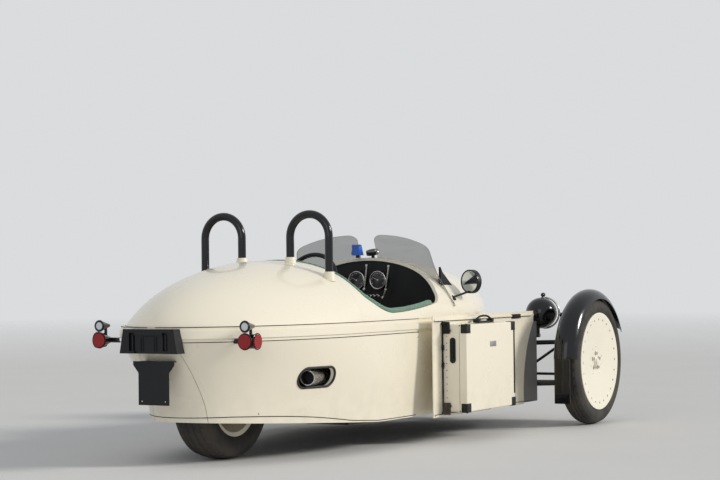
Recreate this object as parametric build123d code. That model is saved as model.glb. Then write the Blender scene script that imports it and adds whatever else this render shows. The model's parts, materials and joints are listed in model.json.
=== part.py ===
# A three wheeled open sports car with two hard side cases.
# Lengths are millimetres. While it is modelled, X points forward from the rear axle,
# Y points to the car's left and Z points up from the ground.

from build123d import *
from math import cos, radians, sin, sqrt, tan
import os

os.makedirs("parts", exist_ok=True)

# Clearances
GAP = 0.3
PANEL_GAP = 0.6
RUNNING_GAP = 6.0

# Overall layout
WHEELBASE = 2520.0
TAIL_X = -591.0
NOSE_X = WHEELBASE + 470.0

# Body above the belt: half ellipses in section. Towards the tail they get lower and stand deeper.
BODY_HALF_W = 530.0
BODY_TAIL_X = -570.0
DOME_TAIL_X = -530.0
DOME_FALL = 1.3
DOME_DROP = 300.0
DOME_TURNS = (0.0, 6.0, 20.0, 40.0, 60.0, 75.0, 86.0)
DOME_LOW_Z = 250.0
DECK_X = 432.0
SCUTTLE_X = 1290.0
COWL_X = 1500.0
COWL_H = 334.0
SHELL_BASE_Z = 630.0
SHELL_H = 314.0
SHELL_T = 14.0

# Belt and tub
BELT_LOW_Z = 570.0
BELT_TOP_Z = 642.0
TUB_FRONT_X = WHEELBASE - 220.0
TUB_T = 20.0
TUB_TUCK = 30.0
TUB_LOW_Z = 137.0
TUB_TAIL_Z = 212.0
TUB_RISE_X = 650.0

# Tub sections: height, tail ahead of the belt's tail, x where the side turns in, tuck of the side
TUB_SECTIONS = [
    (BELT_LOW_Z, 0.0, DECK_X, 0.0),
    (480.0, 70.0, 560.0, 3.0),
    (330.0, 145.0, 760.0, 15.0),
    (TUB_LOW_Z - 10.0, 185.0, 900.0, TUB_TUCK),
]

# Bonnet sections, front ones last: x, half width, crown height
BONNET_SECTIONS = [
    (COWL_X, BODY_HALF_W, COWL_H),
    (COWL_X + 300.0, BODY_HALF_W - 32.0, 303.0),
    (WHEELBASE - 420.0, 394.0, 262.0),
    (WHEELBASE - 40.0, 212.0, 203.0),
]

# Nose sections: x, half width, bottom, springing height, crown height
NOSE_SECTIONS = [
    (WHEELBASE - 34.0, 209.0, 566.0, 628.0, 203.0),
    (WHEELBASE + 200.0, 140.0, 300.0, 505.0, 150.0),
    (WHEELBASE + 380.0, 126.0, 235.0, 440.0, 145.0),
    (NOSE_X, 108.0, 262.0, 402.0, 108.0),
]
NOSE_T = 12.0
GRILLE_IN = 22.0

# Belt rail round the top of the tub
RAIL_PROUD = 4.0
RAIL_T = 22.0
RAIL_LINE = 18.0
RAIL_GROOVE = 4.0

# Tail panel between its two shut lines: half width, height
SHUT_LINE = [
    (117.0, 600.0),
    (114.0, 511.0),
    (126.0, 436.0),
    (137.0, 350.0),
    (145.0, 280.0),
    (149.0, 150.0),
]
SHUT_GAP = 3.0

# Cockpit opening seen from the side, as arcs through three points each: x, z
OPENING = [
    (516.0, 850.0),
    (519.0, 802.0),
    (544.0, 756.0),
    (594.0, 726.0),
    (643.0, 702.0),
    (700.0, 684.0),
    (760.0, 676.0),
    (872.0, 679.0),
    (991.0, 687.0),
    (1130.0, 700.5),
    (1268.0, 718.0),
    (1308.0, 739.0),
    (1339.0, 777.0),
    (1384.0, 829.0),
    (1419.0, 870.0),
    (1436.0, 905.0),
    (1446.0, 950.0),
]
OPENING_TOP_Z = 1200.0
TRIM_W = 24.0
TRIM_PROUD = 6.0
TRIM_END_X = 1215.0

# Cabin
FLOOR_T = 12.0
BULKHEAD_X = DECK_X + 2.0
BULKHEAD_T = 12.0
FIREWALL_X = COWL_X + 380.0
FIREWALL_T = 8.0
TUNNEL_HALF_W = 72.0
TUNNEL_TOP_Z = 400.0
SEAT_HALF_IN = TUNNEL_HALF_W + 12.0
SEAT_HALF_OUT = BODY_HALF_W - TUB_TUCK - TUB_T - 28.0
CUSHION_X = (649.5, 1050.0)
CUSHION_TOP_Z = 290.0
BACK_T = 84.0
BACK_FOOT_X = 566.0
BACK_HEAD = (456.0, 735.0)
DASH_X = 1455.0
DASH_T = 16.0
DASH_LOW_Z = 668.0
DIAL_R = 52.0
DIAL_Y = 66.0
DIAL_Z = 838.0
ENGINE_Y = 210.0
ENGINE_TOP_Z = 640.0

# Roll hoops
HOOP_X = 407.0
HOOP_Y = 252.0
HOOP_LEG = 221.0
HOOP_TUBE_R = 20.0
HOOP_TOP_Z = 1188.0
HOOP_SHELF_Z = SHELL_BASE_Z + SHELL_H - 72.0
COLLAR_H = 26.0
COLLAR_R_LOW = HOOP_TUBE_R + 13.0
COLLAR_R_TOP = HOOP_TUBE_R + 5.0

# Steering wheel and column
HAND_WHEEL_C = (1227.0, 236.0, 831.0)
HAND_WHEEL_R = 158.0
HAND_RIM_R = 12.0
COLUMN_LEAN = 20.0
COLUMN_R = 13.0

# Screens on the scuttle, right screen's outline as half width and height
SCREEN_T = 5.0
SCREEN_PLAN_R = 1200.0
SCREEN_X = 1470.0
SCREEN_LEAN = 22.0
SCREEN_FOOT_Z = 955.0
SCREEN_IN_Y = 52.0
SCREEN_TOP = [
    (62.0, 1070.0),
    (82.0, 1081.0),
    (112.0, 1083.0),
    (166.0, 1079.0),
    (230.0, 1070.0),
    (300.0, 1053.0),
    (353.0, 1035.0),
    (396.0, 1012.0),
    (412.0, 988.0),
]
SCREEN_SIDE = [
    (424.0, 920.0),
    (440.0, 862.0),
    (470.0, 806.0),
    (502.0, 752.0),
    (531.0, 700.0),
    (520.0, 694.0),
]

SCREEN_FOOT = [
    (1440.0, 780.0),
    (1440.0, 905.0),
    (1462.0, 878.0),
    (1584.0, 800.0),
    (1584.0, 770.0),
]
SCREEN_FOOT_Y = (436.0, 448.0)

# Rear wheel
REAR_TYRE_R = 303.5
REAR_TYRE_W = 195.0
REAR_RIM_R = 190.0
REAR_AXLE_R = 14.0

# Front wheels
FRONT_Y = 854.0
FRONT_TYRE_R = 360.0
FRONT_TYRE_W = 128.0
FRONT_RIM_R = 262.0
DISC_R = FRONT_RIM_R + 14.0
DISC_DISH = 26.0
DISC_SLOTS = 24
HUB_R = 58.0
AXLE_R = 18.0

# Frame that carries the wishbones
FRAME_X = (TUB_FRONT_X + 12.0, WHEELBASE + 200.0)
FRAME_PLATE_T = 11.0
FRAME_HALF_W = 240.0
FRAME_Z = (165.0, 555.0)
FRAME_T = 32.0

# Steering axis and wishbones, left side: x, y, z
LOWER_BALL = (WHEELBASE + 8.0, FRONT_Y - 68.0, FRONT_TYRE_R - 125.0)
UPPER_BALL = (WHEELBASE - 8.0, FRONT_Y - 82.0, FRONT_TYRE_R + 110.0)
PIVOT_DROP = 17.0
UPPER_PIVOT_X = (WHEELBASE - 120.0, WHEELBASE + 120.0)
LOWER_PIVOT_X = (WHEELBASE - 140.0, WHEELBASE + 160.0)
UPPER_ARM_R = 12.0
LOWER_ARM_R = 14.0
BALL_R = 20.0
BALL_HALF_H = LOWER_ARM_R + 2.0
POST_R = 17.0
PULL_ROD_R = 8.0
RACK_X = WHEELBASE + 116.0
RACK_Z = FRONT_TYRE_R - 85.0
RACK_R = 12.0
RACK_HOUSING_R = 24.0
STEER_ARM = (RACK_X, FRONT_Y - 90.0, RACK_Z)
STEER_EYE_R = 15.0
TIE_R = 8.0

# Fender over each front wheel
FENDER_CROWN_R = FRONT_TYRE_R + 52.0
FENDER_LIP_R = FRONT_TYRE_R - 4.0
FENDER_HALF_W = FRONT_TYRE_W / 2 + 7.0
FENDER_T = 4.0
FENDER_FRONT_DEG = 26.0
FENDER_REAR_DEG = 176.0
FLAP_T = 5.0
FLAP_LOW_Z = 140.0
STAY_T = 5.0
STAY_W = 22.0
STAY_REACH = FENDER_LIP_R + 16.0
STAY_TURNS = (48.0, 132.0)

# Headlamps, left one: centre and the foot of its post
LAMP_C = (WHEELBASE - 5.0, 556.0, 634.0)
LAMP_R = 90.0
LAMP_FRONT = 60.0
LAMP_POST = (WHEELBASE - 46.0, 552.0, 506.0)
LAMP_POST_R = 11.0

# Side blade and hard case
BLADE_OUT_Y = BODY_HALF_W + 70.0
BLADE_T = 5.0
BLADE_X = (1042.0, WHEELBASE - 218.0)
BLADE_Z = (132.0, 652.0)
BLADE_POSTS = [
    (BLADE_X[0] + 178.0, 250.0),
    (BLADE_X[0] + 178.0, 540.0),
    (BLADE_X[0] + 498.0, 250.0),
    (BLADE_X[0] + 498.0, 540.0),
]
BLADE_RAIL_H = 9.0
BLADE_RAIL_T = 5.0
DUCT_END_X = WHEELBASE - 132.0
DUCT_IN = 22.0
DUCT_T = 8.0
CASE_X = (1150.0, 1740.0)
CASE_Z = (158.0, 606.0)
CASE_Y = (BLADE_OUT_Y + GAP, BLADE_OUT_Y + 96.0)
CASE_T = 5.0
LID_GAP = 1.5
LID_OUT_Y = CASE_Y[1] + 42.0
HINGE_R = 7.0
HINGE_PIN_R = 3.0
HINGE_PLAY = 0.4
HINGE_END = 30.0
HINGE_COUNT = 7

# Tail fittings
PAD_Z = (524.0, 634.0)
PAD_HALF_W = (158.0, 138.0)
PAD_PANEL_Y = 76.0
PAD_BLOCK_Y = 106.0
PAD_DEEP = 14.0
BRACKET_X = -551.0
BRACKET_T = 4.0
BRACKET_HALF_W = 83.5
BRACKET_EAR_W = 112.0
BRACKET_Z = (290.0, 470.0, 488.0)
TAIL_LAMP_C = (-414.0, BODY_HALF_W - 125.5, 575.0)
TAIL_LAMP_R = 36.0
TAIL_LAMP_LEN = 96.0
SIDE_LAMP_OUT = 38.0
SMALL_LAMP_Z = 642.0
SMALL_LAMP_R = 25.0
LENS_T = 8.0

# Exhaust on the right side
EXHAUST_X = 131.0
EXHAUST_Z = 388.0
EXHAUST_LEN = 226.0
EXHAUST_H = 88.0
EXHAUST_TIP_R = 36.0
EXHAUST_WALL = 4.0
MUFFLER_R = 52.0
EXHAUST_MOUTH_Y = 93.0 - BODY_HALF_W
EXHAUST_ELBOW_Y = EXHAUST_MOUTH_Y + 42.0
MUFFLER_Y = EXHAUST_MOUTH_Y + 117.0

# Door mirrors, left one
MIRROR_C = (1600.0, BODY_HALF_W + 21.0, 825.0)
MIRROR_R = 64.0
MIRROR_DEEP = 26.0
MIRROR_TURN = 17.0
MIRROR_FOOT = (1484.0, BODY_HALF_W - 36.0, 742.0)

ORIGIN_X = (TAIL_X + NOSE_X) / 2
FROM_BASE = (Align.CENTER, Align.CENTER, Align.MIN)
NODES = {}


# General helpers

def keep(name, shape):
    NODES[name] = shape


def mirrored(shape):
    return mirror(shape, about=Plane.XZ)


def both_sides(shape):
    return Compound([*shape.solids(), *mirrored(shape).solids()])


def tube_between(start, end, radius):
    a = Vector(*start)
    b = Vector(*end)
    plane = Plane(origin=a, z_dir=(b - a).normalized())
    return plane * Pos(0, 0, (b - a).length / 2) * Cylinder(radius, (b - a).length)


def block(x_range, y_range, z_range):
    size = [hi - lo for lo, hi in (x_range, y_range, z_range)]
    mid = [(hi + lo) / 2 for lo, hi in (x_range, y_range, z_range)]
    return Pos(*mid) * Box(*size)


def side_face(face, y_range=(-1200.0, 1200.0)):
    """A solid of one face seen from the side, x and z, between two places in y."""
    plane = Plane(origin=(0, y_range[0], 0), x_dir=(1, 0, 0), z_dir=(0, -1, 0))
    return extrude(plane * face, amount=-(y_range[1] - y_range[0]))


def side_prism(points, y_range=(-1200.0, 1200.0)):
    return side_face(make_face(Polyline(*points, close=True)), y_range)


def cross_plane(x):
    return Plane(origin=(x, 0, 0), x_dir=(0, 1, 0), z_dir=(1, 0, 0))


def cross_prism(points, x_range):
    """A solid of one outline seen from behind, y and z, between two places in x."""
    outline = make_face(Polyline(*points, close=True))
    return extrude(cross_plane(x_range[0]) * outline, amount=x_range[1] - x_range[0])


def wheel_spin(profile, centre):
    """Revolve a profile of radius and y about the wheel's own axis."""
    face = Plane.XY * make_face(Polyline(*profile, close=True))
    return Pos(*centre) * revolve(face, axis=Axis.Y, revolution_arc=360)


# Body sections

def arch(x, half_w, low_z, mid_z, crown):
    """A cross section: straight sides below and half an ellipse on top."""
    edges = [
        EllipticalCenterArc((0, mid_z), half_w, crown, start_angle=0, arc_size=180),
        Line((-half_w, mid_z), (-half_w, low_z)),
        Line((-half_w, low_z), (half_w, low_z)),
        Line((half_w, low_z), (half_w, mid_z)),
    ]
    return cross_plane(x) * make_face(edges)


def dome_section(turn, inset):
    """One section of the tail dome: the top of a half ellipse that stands deeper towards the tail."""
    back = sin(radians(turn))
    x = DECK_X - (DECK_X - DOME_TAIL_X - inset) * back
    belt_half_w = BODY_HALF_W * cos(radians(turn))
    height = SHELL_H * cos(radians(turn)) ** DOME_FALL
    drop = DOME_DROP * back * (2 - back)
    half_w = belt_half_w / sqrt(1 - (drop / (height + drop)) ** 2)
    return arch(x, half_w - inset, DOME_LOW_Z, SHELL_BASE_Z - drop, height + drop - inset)


def tail_dome(inset):
    return loft([dome_section(turn, inset) for turn in DOME_TURNS])


def mid_shell(inset):
    face = arch(DECK_X, BODY_HALF_W - inset, BELT_LOW_Z, SHELL_BASE_Z, SHELL_H - inset)
    return extrude(face, amount=SCUTTLE_X - DECK_X)


def scuttle_form(inset):
    rear = arch(SCUTTLE_X, BODY_HALF_W - inset, BELT_LOW_Z, SHELL_BASE_Z, SHELL_H - inset)
    front = arch(COWL_X, BODY_HALF_W - inset, BELT_LOW_Z, SHELL_BASE_Z, COWL_H - inset)
    return loft([rear, front])


def bonnet_form(inset):
    faces = [arch(x, w - inset, BELT_LOW_Z, SHELL_BASE_Z, h - inset) for x, w, h in BONNET_SECTIONS]
    return loft(faces)


def above_belt(x_range):
    return block(x_range, (-900.0, 900.0), (BELT_TOP_Z, 1400.0))


def opening_face(inset):
    """The opening's side view, with a flat top above the body."""
    first = OPENING[0]
    last = OPENING[-1]
    arcs = [ThreePointArc(*OPENING[at:at + 3]) for at in range(0, len(OPENING) - 1, 2)]
    top = Polyline(last, (last[0], OPENING_TOP_Z), (first[0], OPENING_TOP_Z), first)
    face = make_face([*arcs, top])
    return offset(face, amount=-inset) if inset else face


def opening_cut():
    return side_face(opening_face(0))


def hoop_legs():
    return [(HOOP_X, side * HOOP_Y + leg * HOOP_LEG / 2) for side in (-1, 1) for leg in (-1, 1)]


def shell_top_z(y, crown=SHELL_H):
    return SHELL_BASE_Z + crown * sqrt(1 - (y / BODY_HALF_W) ** 2)


def rear_deck():
    shell = (tail_dome(0) - tail_dome(SHELL_T)) & above_belt((BODY_TAIL_X - 10, DECK_X))
    for x, y in hoop_legs():
        shell -= Pos(x, y, HOOP_TOP_Z - 200) * Cylinder(HOOP_TUBE_R + GAP, 400)
    keep("rear_deck", shell)


def cockpit_sides():
    shell = mid_shell(0) - mid_shell(SHELL_T)
    strip = shell & above_belt((DECK_X + PANEL_GAP, SCUTTLE_X - PANEL_GAP))
    keep("cockpit_sides", strip - opening_cut())


def scuttle():
    shell = scuttle_form(0) - scuttle_form(SHELL_T)
    hood = shell & above_belt((SCUTTLE_X, COWL_X - PANEL_GAP))
    keep("scuttle", hood - opening_cut())


def cockpit_trim():
    """The padded roll on the sill and round the back of the opening."""
    thick = mid_shell(-TRIM_PROUD) - mid_shell(SHELL_T + TRIM_PROUD)
    near = thick & above_belt((DECK_X + 10, TRIM_END_X))
    roll = (near & side_face(opening_face(GAP))) - side_face(opening_face(TRIM_W))
    keep("cockpit_trim", roll)


def bonnet():
    shell = bonnet_form(0) - bonnet_form(SHELL_T)
    front = BONNET_SECTIONS[-1][0]
    keep("bonnet", shell & above_belt((COWL_X, front)))


def nose_form(inset):
    faces = []
    for x, w, low, mid, crown in NOSE_SECTIONS:
        faces.append(arch(x, w - inset, low + inset, mid, crown - inset))
    return loft(faces)


def nose_cowl():
    shell = nose_form(0) - nose_form(NOSE_T)
    shell -= block((TUB_FRONT_X, FRAME_X[1] + GAP), (-400.0, 400.0), (100.0, FRAME_Z[1] + GAP))
    keep("nose_cowl", shell)
    x, w, low, mid, crown = NOSE_SECTIONS[-1]
    start = x - GRILLE_IN
    plate = block((start, start + 4), (-w - 50, w + 50), (low - 50, mid + crown + 50))
    for count in range(9):
        y = (count - 4) * 22.0
        plate -= block((start - 5, start + 9), (y - 7, y + 7), (low + 28, mid + 40))
    keep("nose_grille", plate & nose_form(NOSE_T + GAP))


def plan_outline(inset, section=TUB_SECTIONS[0], front_x=TUB_FRONT_X):
    """The body seen from above at one of the tub's sections, as one face."""
    z, ahead, turn_x, tuck = section
    inset += tuck
    half = BODY_HALF_W - inset
    tail = turn_x - BODY_TAIL_X - ahead - inset + tuck
    mid_x, mid_w, _ = BONNET_SECTIONS[1]
    far_x, far_w, _ = BONNET_SECTIONS[2]
    end_x, end_w, _ = BONNET_SECTIONS[3]
    slope = (end_w - far_w) / (end_x - far_x)
    front_w = far_w - inset + slope * (front_x - far_x)
    left = [
        Line((front_x, 0), (front_x, front_w)),
        Line((front_x, front_w), (far_x, far_w - inset)),
        ThreePointArc((far_x, far_w - inset), (mid_x, mid_w - inset), (COWL_X, half)),
        Line((COWL_X, half), (turn_x, half)),
        EllipticalCenterArc((turn_x, 0), tail, half, start_angle=90, arc_size=90),
    ]
    right = [mirror(edge, about=Plane.XZ) for edge in left]
    return Pos(0, 0, z) * make_face(left + right)


def belt_prism(inset, low_z, high_z):
    face = Pos(0, 0, low_z - BELT_LOW_Z) * plan_outline(inset)
    return extrude(face, amount=high_z - low_z)


def tub_form(inset):
    return loft([plan_outline(inset, section) for section in reversed(TUB_SECTIONS)])


def below_lip():
    return side_prism([
        (-900.0, 0.0),
        (-900.0, TUB_TAIL_Z + (TUB_TAIL_Z - TUB_LOW_Z) * 0.25),
        (TUB_RISE_X, TUB_LOW_Z + 4.0),
        (TUB_FRONT_X + 100.0, TUB_LOW_Z),
        (TUB_FRONT_X + 100.0, 0.0),
    ])


def tail_wedge(widen):
    points = [(y + widen, z) for y, z in SHUT_LINE]
    points += [(-y, z) for y, z in reversed(points)]
    return cross_prism(points, (BODY_TAIL_X - 50.0, -150.0))


def exhaust_slot():
    plane = Plane(origin=(EXHAUST_X, -BODY_HALF_W - 60, EXHAUST_Z), x_dir=(1, 0, 0), z_dir=(0, -1, 0))
    return extrude(plane * SlotOverall(EXHAUST_LEN, EXHAUST_H), amount=-220)


def tub_panels():
    ring = tub_form(0) - tub_form(TUB_T) - below_lip()
    keep("tail_panel", ring & tail_wedge(0))
    rest = ring - tail_wedge(SHUT_GAP)
    halves = sorted(rest.solids(), key=lambda s: s.center().Y)
    keep("side_panel_left", halves[-1])
    keep("side_panel_right", halves[0] - exhaust_slot())


def belt_rails():
    core = belt_prism(RAIL_GROOVE, BELT_LOW_Z + GAP / 2, BELT_TOP_Z - GAP / 2)
    band = belt_prism(-RAIL_PROUD, BELT_LOW_Z + RAIL_LINE, BELT_TOP_Z - RAIL_LINE)
    hollow = belt_prism(RAIL_T, BELT_LOW_Z - 5, BELT_TOP_Z + 5)
    split = block((-700.0, TUB_FRONT_X + 10), (-PANEL_GAP / 2, PANEL_GAP / 2), (500.0, 700.0))
    front = block((TUB_FRONT_X - 30, TUB_FRONT_X + 10), (-600.0, 600.0), (500.0, 700.0))
    keep("belt_rails", core + band - hollow - split - front)


# Cabin

def floor_low():
    return TUB_LOW_Z + 3.0


def floor_top():
    return floor_low() + FLOOR_T


def floor_pan():
    face = plan_outline(TUB_T + 1.0, TUB_SECTIONS[-1], TUB_FRONT_X - 30)
    plate = Pos(0, 0, floor_low() - TUB_SECTIONS[-1][0]) * extrude(face, amount=FLOOR_T)
    keep("floor_pan", plate & block((BULKHEAD_X, TUB_FRONT_X), (-900.0, 900.0), (0.0, 300.0)))


def cabin_wall(x, thick):
    """A wall across the car that fits inside the tub, the rail and the shell."""
    slab = block((x, x + thick), (-900.0, 900.0), (floor_top() + GAP, 1400.0))
    below = slab & tub_form(TUB_T + 1.0)
    rail = slab & belt_prism(RAIL_T + 1.0, BELT_LOW_Z - 1, BELT_TOP_Z)
    return slab, below + rail


def rear_bulkhead():
    slab, wall = cabin_wall(BULKHEAD_X, BULKHEAD_T)
    half_w = BODY_HALF_W - RAIL_T - 1.0
    face = arch(BULKHEAD_X, half_w, BELT_TOP_Z - 20, SHELL_BASE_Z, SHELL_H - SHELL_T - 1.0)
    wall += slab & extrude(face, amount=BULKHEAD_T)
    shelf_y = HOOP_Y + HOOP_LEG / 2 + 10
    shelf = block((HOOP_X - 30, BULKHEAD_X + 2), (-shelf_y, shelf_y), (HOOP_SHELF_Z - 30, HOOP_SHELF_Z))
    under = tail_dome(SHELL_T + 3.0) + mid_shell(SHELL_T + 3.0)
    keep("rear_bulkhead", wall + (shelf & under))


def firewall():
    slab, wall = cabin_wall(FIREWALL_X, FIREWALL_T)
    upper = block((COWL_X, TUB_FRONT_X), (-900.0, 900.0), (BELT_TOP_Z - 20, 1400.0))
    wall += slab & bonnet_form(RAIL_T + 1.0) & upper
    keep("firewall", wall)


def centre_tunnel():
    x_range = (BULKHEAD_X + BULKHEAD_T + GAP, FIREWALL_X - GAP)
    body = block(x_range, (-TUNNEL_HALF_W, TUNNEL_HALF_W), (floor_top() + GAP, TUNNEL_TOP_Z))
    edges = body.edges().filter_by(Axis.X).group_by(Axis.Z)[-1]
    keep("centre_tunnel", fillet(edges, 30))


def engine_block():
    x_range = (FIREWALL_X + FIREWALL_T + 42, TUB_FRONT_X - 30)
    keep("engine_block", block(x_range, (-ENGINE_Y, ENGINE_Y), (floor_top() + GAP, ENGINE_TOP_Z)))


def seats():
    low = floor_top() + GAP
    cushion = block(CUSHION_X, (SEAT_HALF_IN, SEAT_HALF_OUT), (low, CUSHION_TOP_Z))
    cushion = fillet(cushion.edges().filter_by(Axis.Y).group_by(Axis.Z)[-1], 40)
    keep("seat_cushions", both_sides(cushion))
    foot = Vector(BACK_FOOT_X, 0, low)
    head = Vector(BACK_HEAD[0], 0, BACK_HEAD[1])
    lean = head - foot
    across = Vector(lean.Z, 0, -lean.X).normalized() * BACK_T
    corners = [foot, foot + across, head + across, head]
    back = side_prism([(c.X, c.Z) for c in corners], (SEAT_HALF_IN, SEAT_HALF_OUT - 20))
    back &= block((0.0, 1200.0), (-900.0, 900.0), (low, 1200.0))
    back = fillet(back.edges().filter_by(Axis.Y).group_by(Axis.Z)[-1], 34)
    keep("seat_backs", both_sides(back))


def dashboard():
    panel = scuttle_form(SHELL_T + GAP)
    panel &= block((DASH_X, DASH_X + DASH_T), (-900.0, 900.0), (DASH_LOW_Z, 1200.0))
    lean = radians(COLUMN_LEAN)
    cx, cy, cz = HAND_WHEEL_C
    far = (cx + 500 * cos(lean), cy, cz - 500 * sin(lean))
    panel -= tube_between(HAND_WHEEL_C, far, COLUMN_R + 0.5)
    for y in (-DIAL_Y, DIAL_Y):
        panel += Pos(DASH_X - 8, y, DIAL_Z) * Rot(0, 90, 0) * Cylinder(DIAL_R, 20)
    keep("dashboard", panel)


def pedals():
    arms = []
    for y in (140.0, 236.0, 330.0):
        arm = tube_between((FIREWALL_X - 20, y, 470.0), (FIREWALL_X - 146, y, 278.0), 8.0)
        pad = Pos(FIREWALL_X - 146, y, 272.0) * Rot(0, -25, 0) * Box(10, 60, 74)
        foot = block((FIREWALL_X - 40, FIREWALL_X - GAP), (y - 16, y + 16), (450.0, 490.0))
        arms += (arm + pad + foot).solids()
    keep("pedals", Compound(arms))


# Outside of the body

def roll_hoops():
    bend = HOOP_LEG / 2
    top = HOOP_TOP_Z - HOOP_TUBE_R
    foot = HOOP_SHELF_Z + GAP
    near, far = HOOP_Y - bend, HOOP_Y + bend
    path = cross_plane(HOOP_X) * Wire([
        Line((near, foot), (near, top - bend)),
        ThreePointArc((near, top - bend), (HOOP_Y, top), (far, top - bend)),
        Line((far, top - bend), (far, foot)),
    ])
    keep("roll_hoops", both_sides(sweep(Pos(HOOP_X, near, foot) * Circle(HOOP_TUBE_R), path=path)))
    bed = tail_dome(-GAP) + mid_shell(-3 * GAP)
    collars = []
    for x, y in hoop_legs():
        z = shell_top_z(y)
        cone = Pos(x, y, z + COLLAR_H / 2 - 10) * Cone(COLLAR_R_LOW, COLLAR_R_TOP, COLLAR_H + 20)
        cone -= Pos(x, y, z) * Cylinder(HOOP_TUBE_R + GAP, 400)
        collars += (cone - bed).solids()
    keep("hoop_collars", Compound(collars))


def screen_wall(inner_r, outer_r):
    """A leaning curved wall that stands across the scuttle."""
    lean = tan(radians(SCREEN_LEAN))
    low = 650.0
    centre_x = SCREEN_X - SCREEN_PLAN_R + lean * (SCREEN_FOOT_Z - low)
    band = Pos(centre_x, 0, low) * (Circle(outer_r) - Circle(inner_r))
    return extrude(band, amount=480 / cos(radians(SCREEN_LEAN)), dir=(-lean, 0, 1))


def front_body(grow):
    return scuttle_form(-grow) + bonnet_form(-grow)


def screens():
    wall = screen_wall(SCREEN_PLAN_R - SCREEN_T, SCREEN_PLAN_R)
    start = SCREEN_TOP[0]
    low = SCREEN_SIDE[-1]
    outline = make_face([
        Line((SCREEN_IN_Y, low[1]), (SCREEN_IN_Y, start[1] - 20)),
        ThreePointArc((SCREEN_IN_Y, start[1] - 20), (SCREEN_IN_Y + 2.5, start[1] - 9), start),
        Spline(*SCREEN_TOP),
        Polyline(SCREEN_TOP[-1], *SCREEN_SIDE),
        Line(low, (SCREEN_IN_Y, low[1])),
    ])
    cut = extrude(cross_plane(1250.0) * outline, amount=400.0)
    glass = (wall & cut) - front_body(GAP)
    glass = max(glass.solids(), key=lambda s: s.volume)
    keep("aero_screens", both_sides(glass))
    ahead = screen_wall(SCREEN_PLAN_R - SCREEN_T - GAP, SCREEN_PLAN_R + 300)
    behind = screen_wall(SCREEN_PLAN_R - 300, SCREEN_PLAN_R + GAP)
    foot = side_prism(SCREEN_FOOT, SCREEN_FOOT_Y)
    foot -= behind
    foot -= front_body(GAP)
    foot = max(foot.solids(), key=lambda s: s.volume)
    keep("screen_feet", both_sides(foot))
    clamp = block((1402.0, 1480.0), (31.0, 74.0), (974.0, 1032.0)) - ahead
    clamp = max(clamp.solids(), key=lambda s: s.volume)
    keep("accessory_clamp", clamp)


def door_mirrors():
    plane = Plane(origin=MIRROR_C, z_dir=(cos(radians(MIRROR_TURN)), sin(radians(MIRROR_TURN)), 0))
    disc = plane * Cylinder(MIRROR_R, MIRROR_DEEP)
    half = MIRROR_DEEP / 2
    back = plane * Pos(0, 0, half) * Cone(MIRROR_R, 30.0, 26.0, align=FROM_BASE)
    x, y, z = MIRROR_C
    fx, fy, fz = MIRROR_FOOT
    arm = tube_between((x - 4, y - 8, z - MIRROR_R + 12), MIRROR_FOOT, 5.5)
    foot = Pos(fx, fy, fz - 6) * Rot(50, 0, 0) * Cylinder(13.0, 34.0)
    keep("door_mirrors", both_sides(disc + back + arm + foot - front_body(GAP)))


def centre_mirror():
    top = shell_top_z(18.0, COWL_H)
    pod = Pos(1468.0, -18.0, top + 26) * Rot(0, -18, 0) * Cylinder(35.0, 20.0)
    stalk = Pos(1474.0, -18.0, top + 8) * Cylinder(9.0, 40.0)
    keep("centre_mirror", pod + stalk - front_body(GAP))


def tail_fittings():
    (low, high), (wide, narrow) = PAD_Z, PAD_HALF_W
    outline = [(-wide, low), (wide, low), (narrow, high), (-narrow, high)]
    pad = cross_prism(outline, (TAIL_X, BODY_TAIL_X + 90))
    for side in (-1, 1):
        y_range = sorted((side * PAD_PANEL_Y, side * PAD_BLOCK_Y))
        pad -= block((TAIL_X - 5, TAIL_X + PAD_DEEP), y_range, (low + 12, high - 16))
    pad -= block((TAIL_X - 5, TAIL_X + PAD_DEEP / 2), (-PAD_PANEL_Y, PAD_PANEL_Y), (low - 5, high - 28))
    pad -= belt_prism(-RAIL_PROUD - GAP, low - 20, high + 20)
    pad -= tub_form(-GAP)
    keep("tail_pad", pad)
    low, bend, top = BRACKET_Z
    w = BRACKET_HALF_W
    ear = BRACKET_EAR_W
    left = [(w, low), (w, bend - 34), (ear, bend), (ear, top)]
    right = [(-y, z) for y, z in reversed(left)]
    bracket = cross_prism(left + right, (BRACKET_X, BRACKET_X + BRACKET_T))
    bracket += block((BRACKET_X, BODY_TAIL_X + 260), (-w, w), (top - 6, top))
    keep("plate_bracket", bracket - tub_form(-GAP))


def tail_lamps():
    x, y, z = TAIL_LAMP_C
    r = TAIL_LAMP_R
    bullet = Pos(x, y, z) * Rot(0, 90, 0) * Cone(r, 9.0, TAIL_LAMP_LEN, align=FROM_BASE)
    body = bullet + tube_between((x + r, y, z), (x + r, y + SIDE_LAMP_OUT, z), r - 3)
    body += tube_between((x + 50, 250.0, z), (x + 50, y, z), 12.0)
    body += tube_between((x + 46, y, z), (x + 46, y, SMALL_LAMP_Z), 7.0)
    small_x = x + 4
    small = Pos(small_x, y, SMALL_LAMP_Z) * Rot(0, 90, 0)
    body += small * Cone(SMALL_LAMP_R, 8.0, 66.0, align=FROM_BASE)
    body -= tub_form(-GAP)
    body -= belt_prism(-RAIL_PROUD - GAP, BELT_LOW_Z, BELT_TOP_Z)
    keep("tail_lamps", both_sides(body))
    step = GAP + LENS_T / 2
    red = Pos(x - step, y, z) * Rot(0, 90, 0) * Cylinder(r - 3, LENS_T)
    side = Pos(x + r, y + SIDE_LAMP_OUT + step, z) * Rot(90, 0, 0) * Cylinder(r - 4, LENS_T)
    clear = Pos(small_x - step, y, SMALL_LAMP_Z) * Rot(0, 90, 0) * Cylinder(SMALL_LAMP_R - 2, LENS_T)
    keep("tail_lenses", both_sides(Compound([*red.solids(), *side.solids(), *clear.solids()])))


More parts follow.
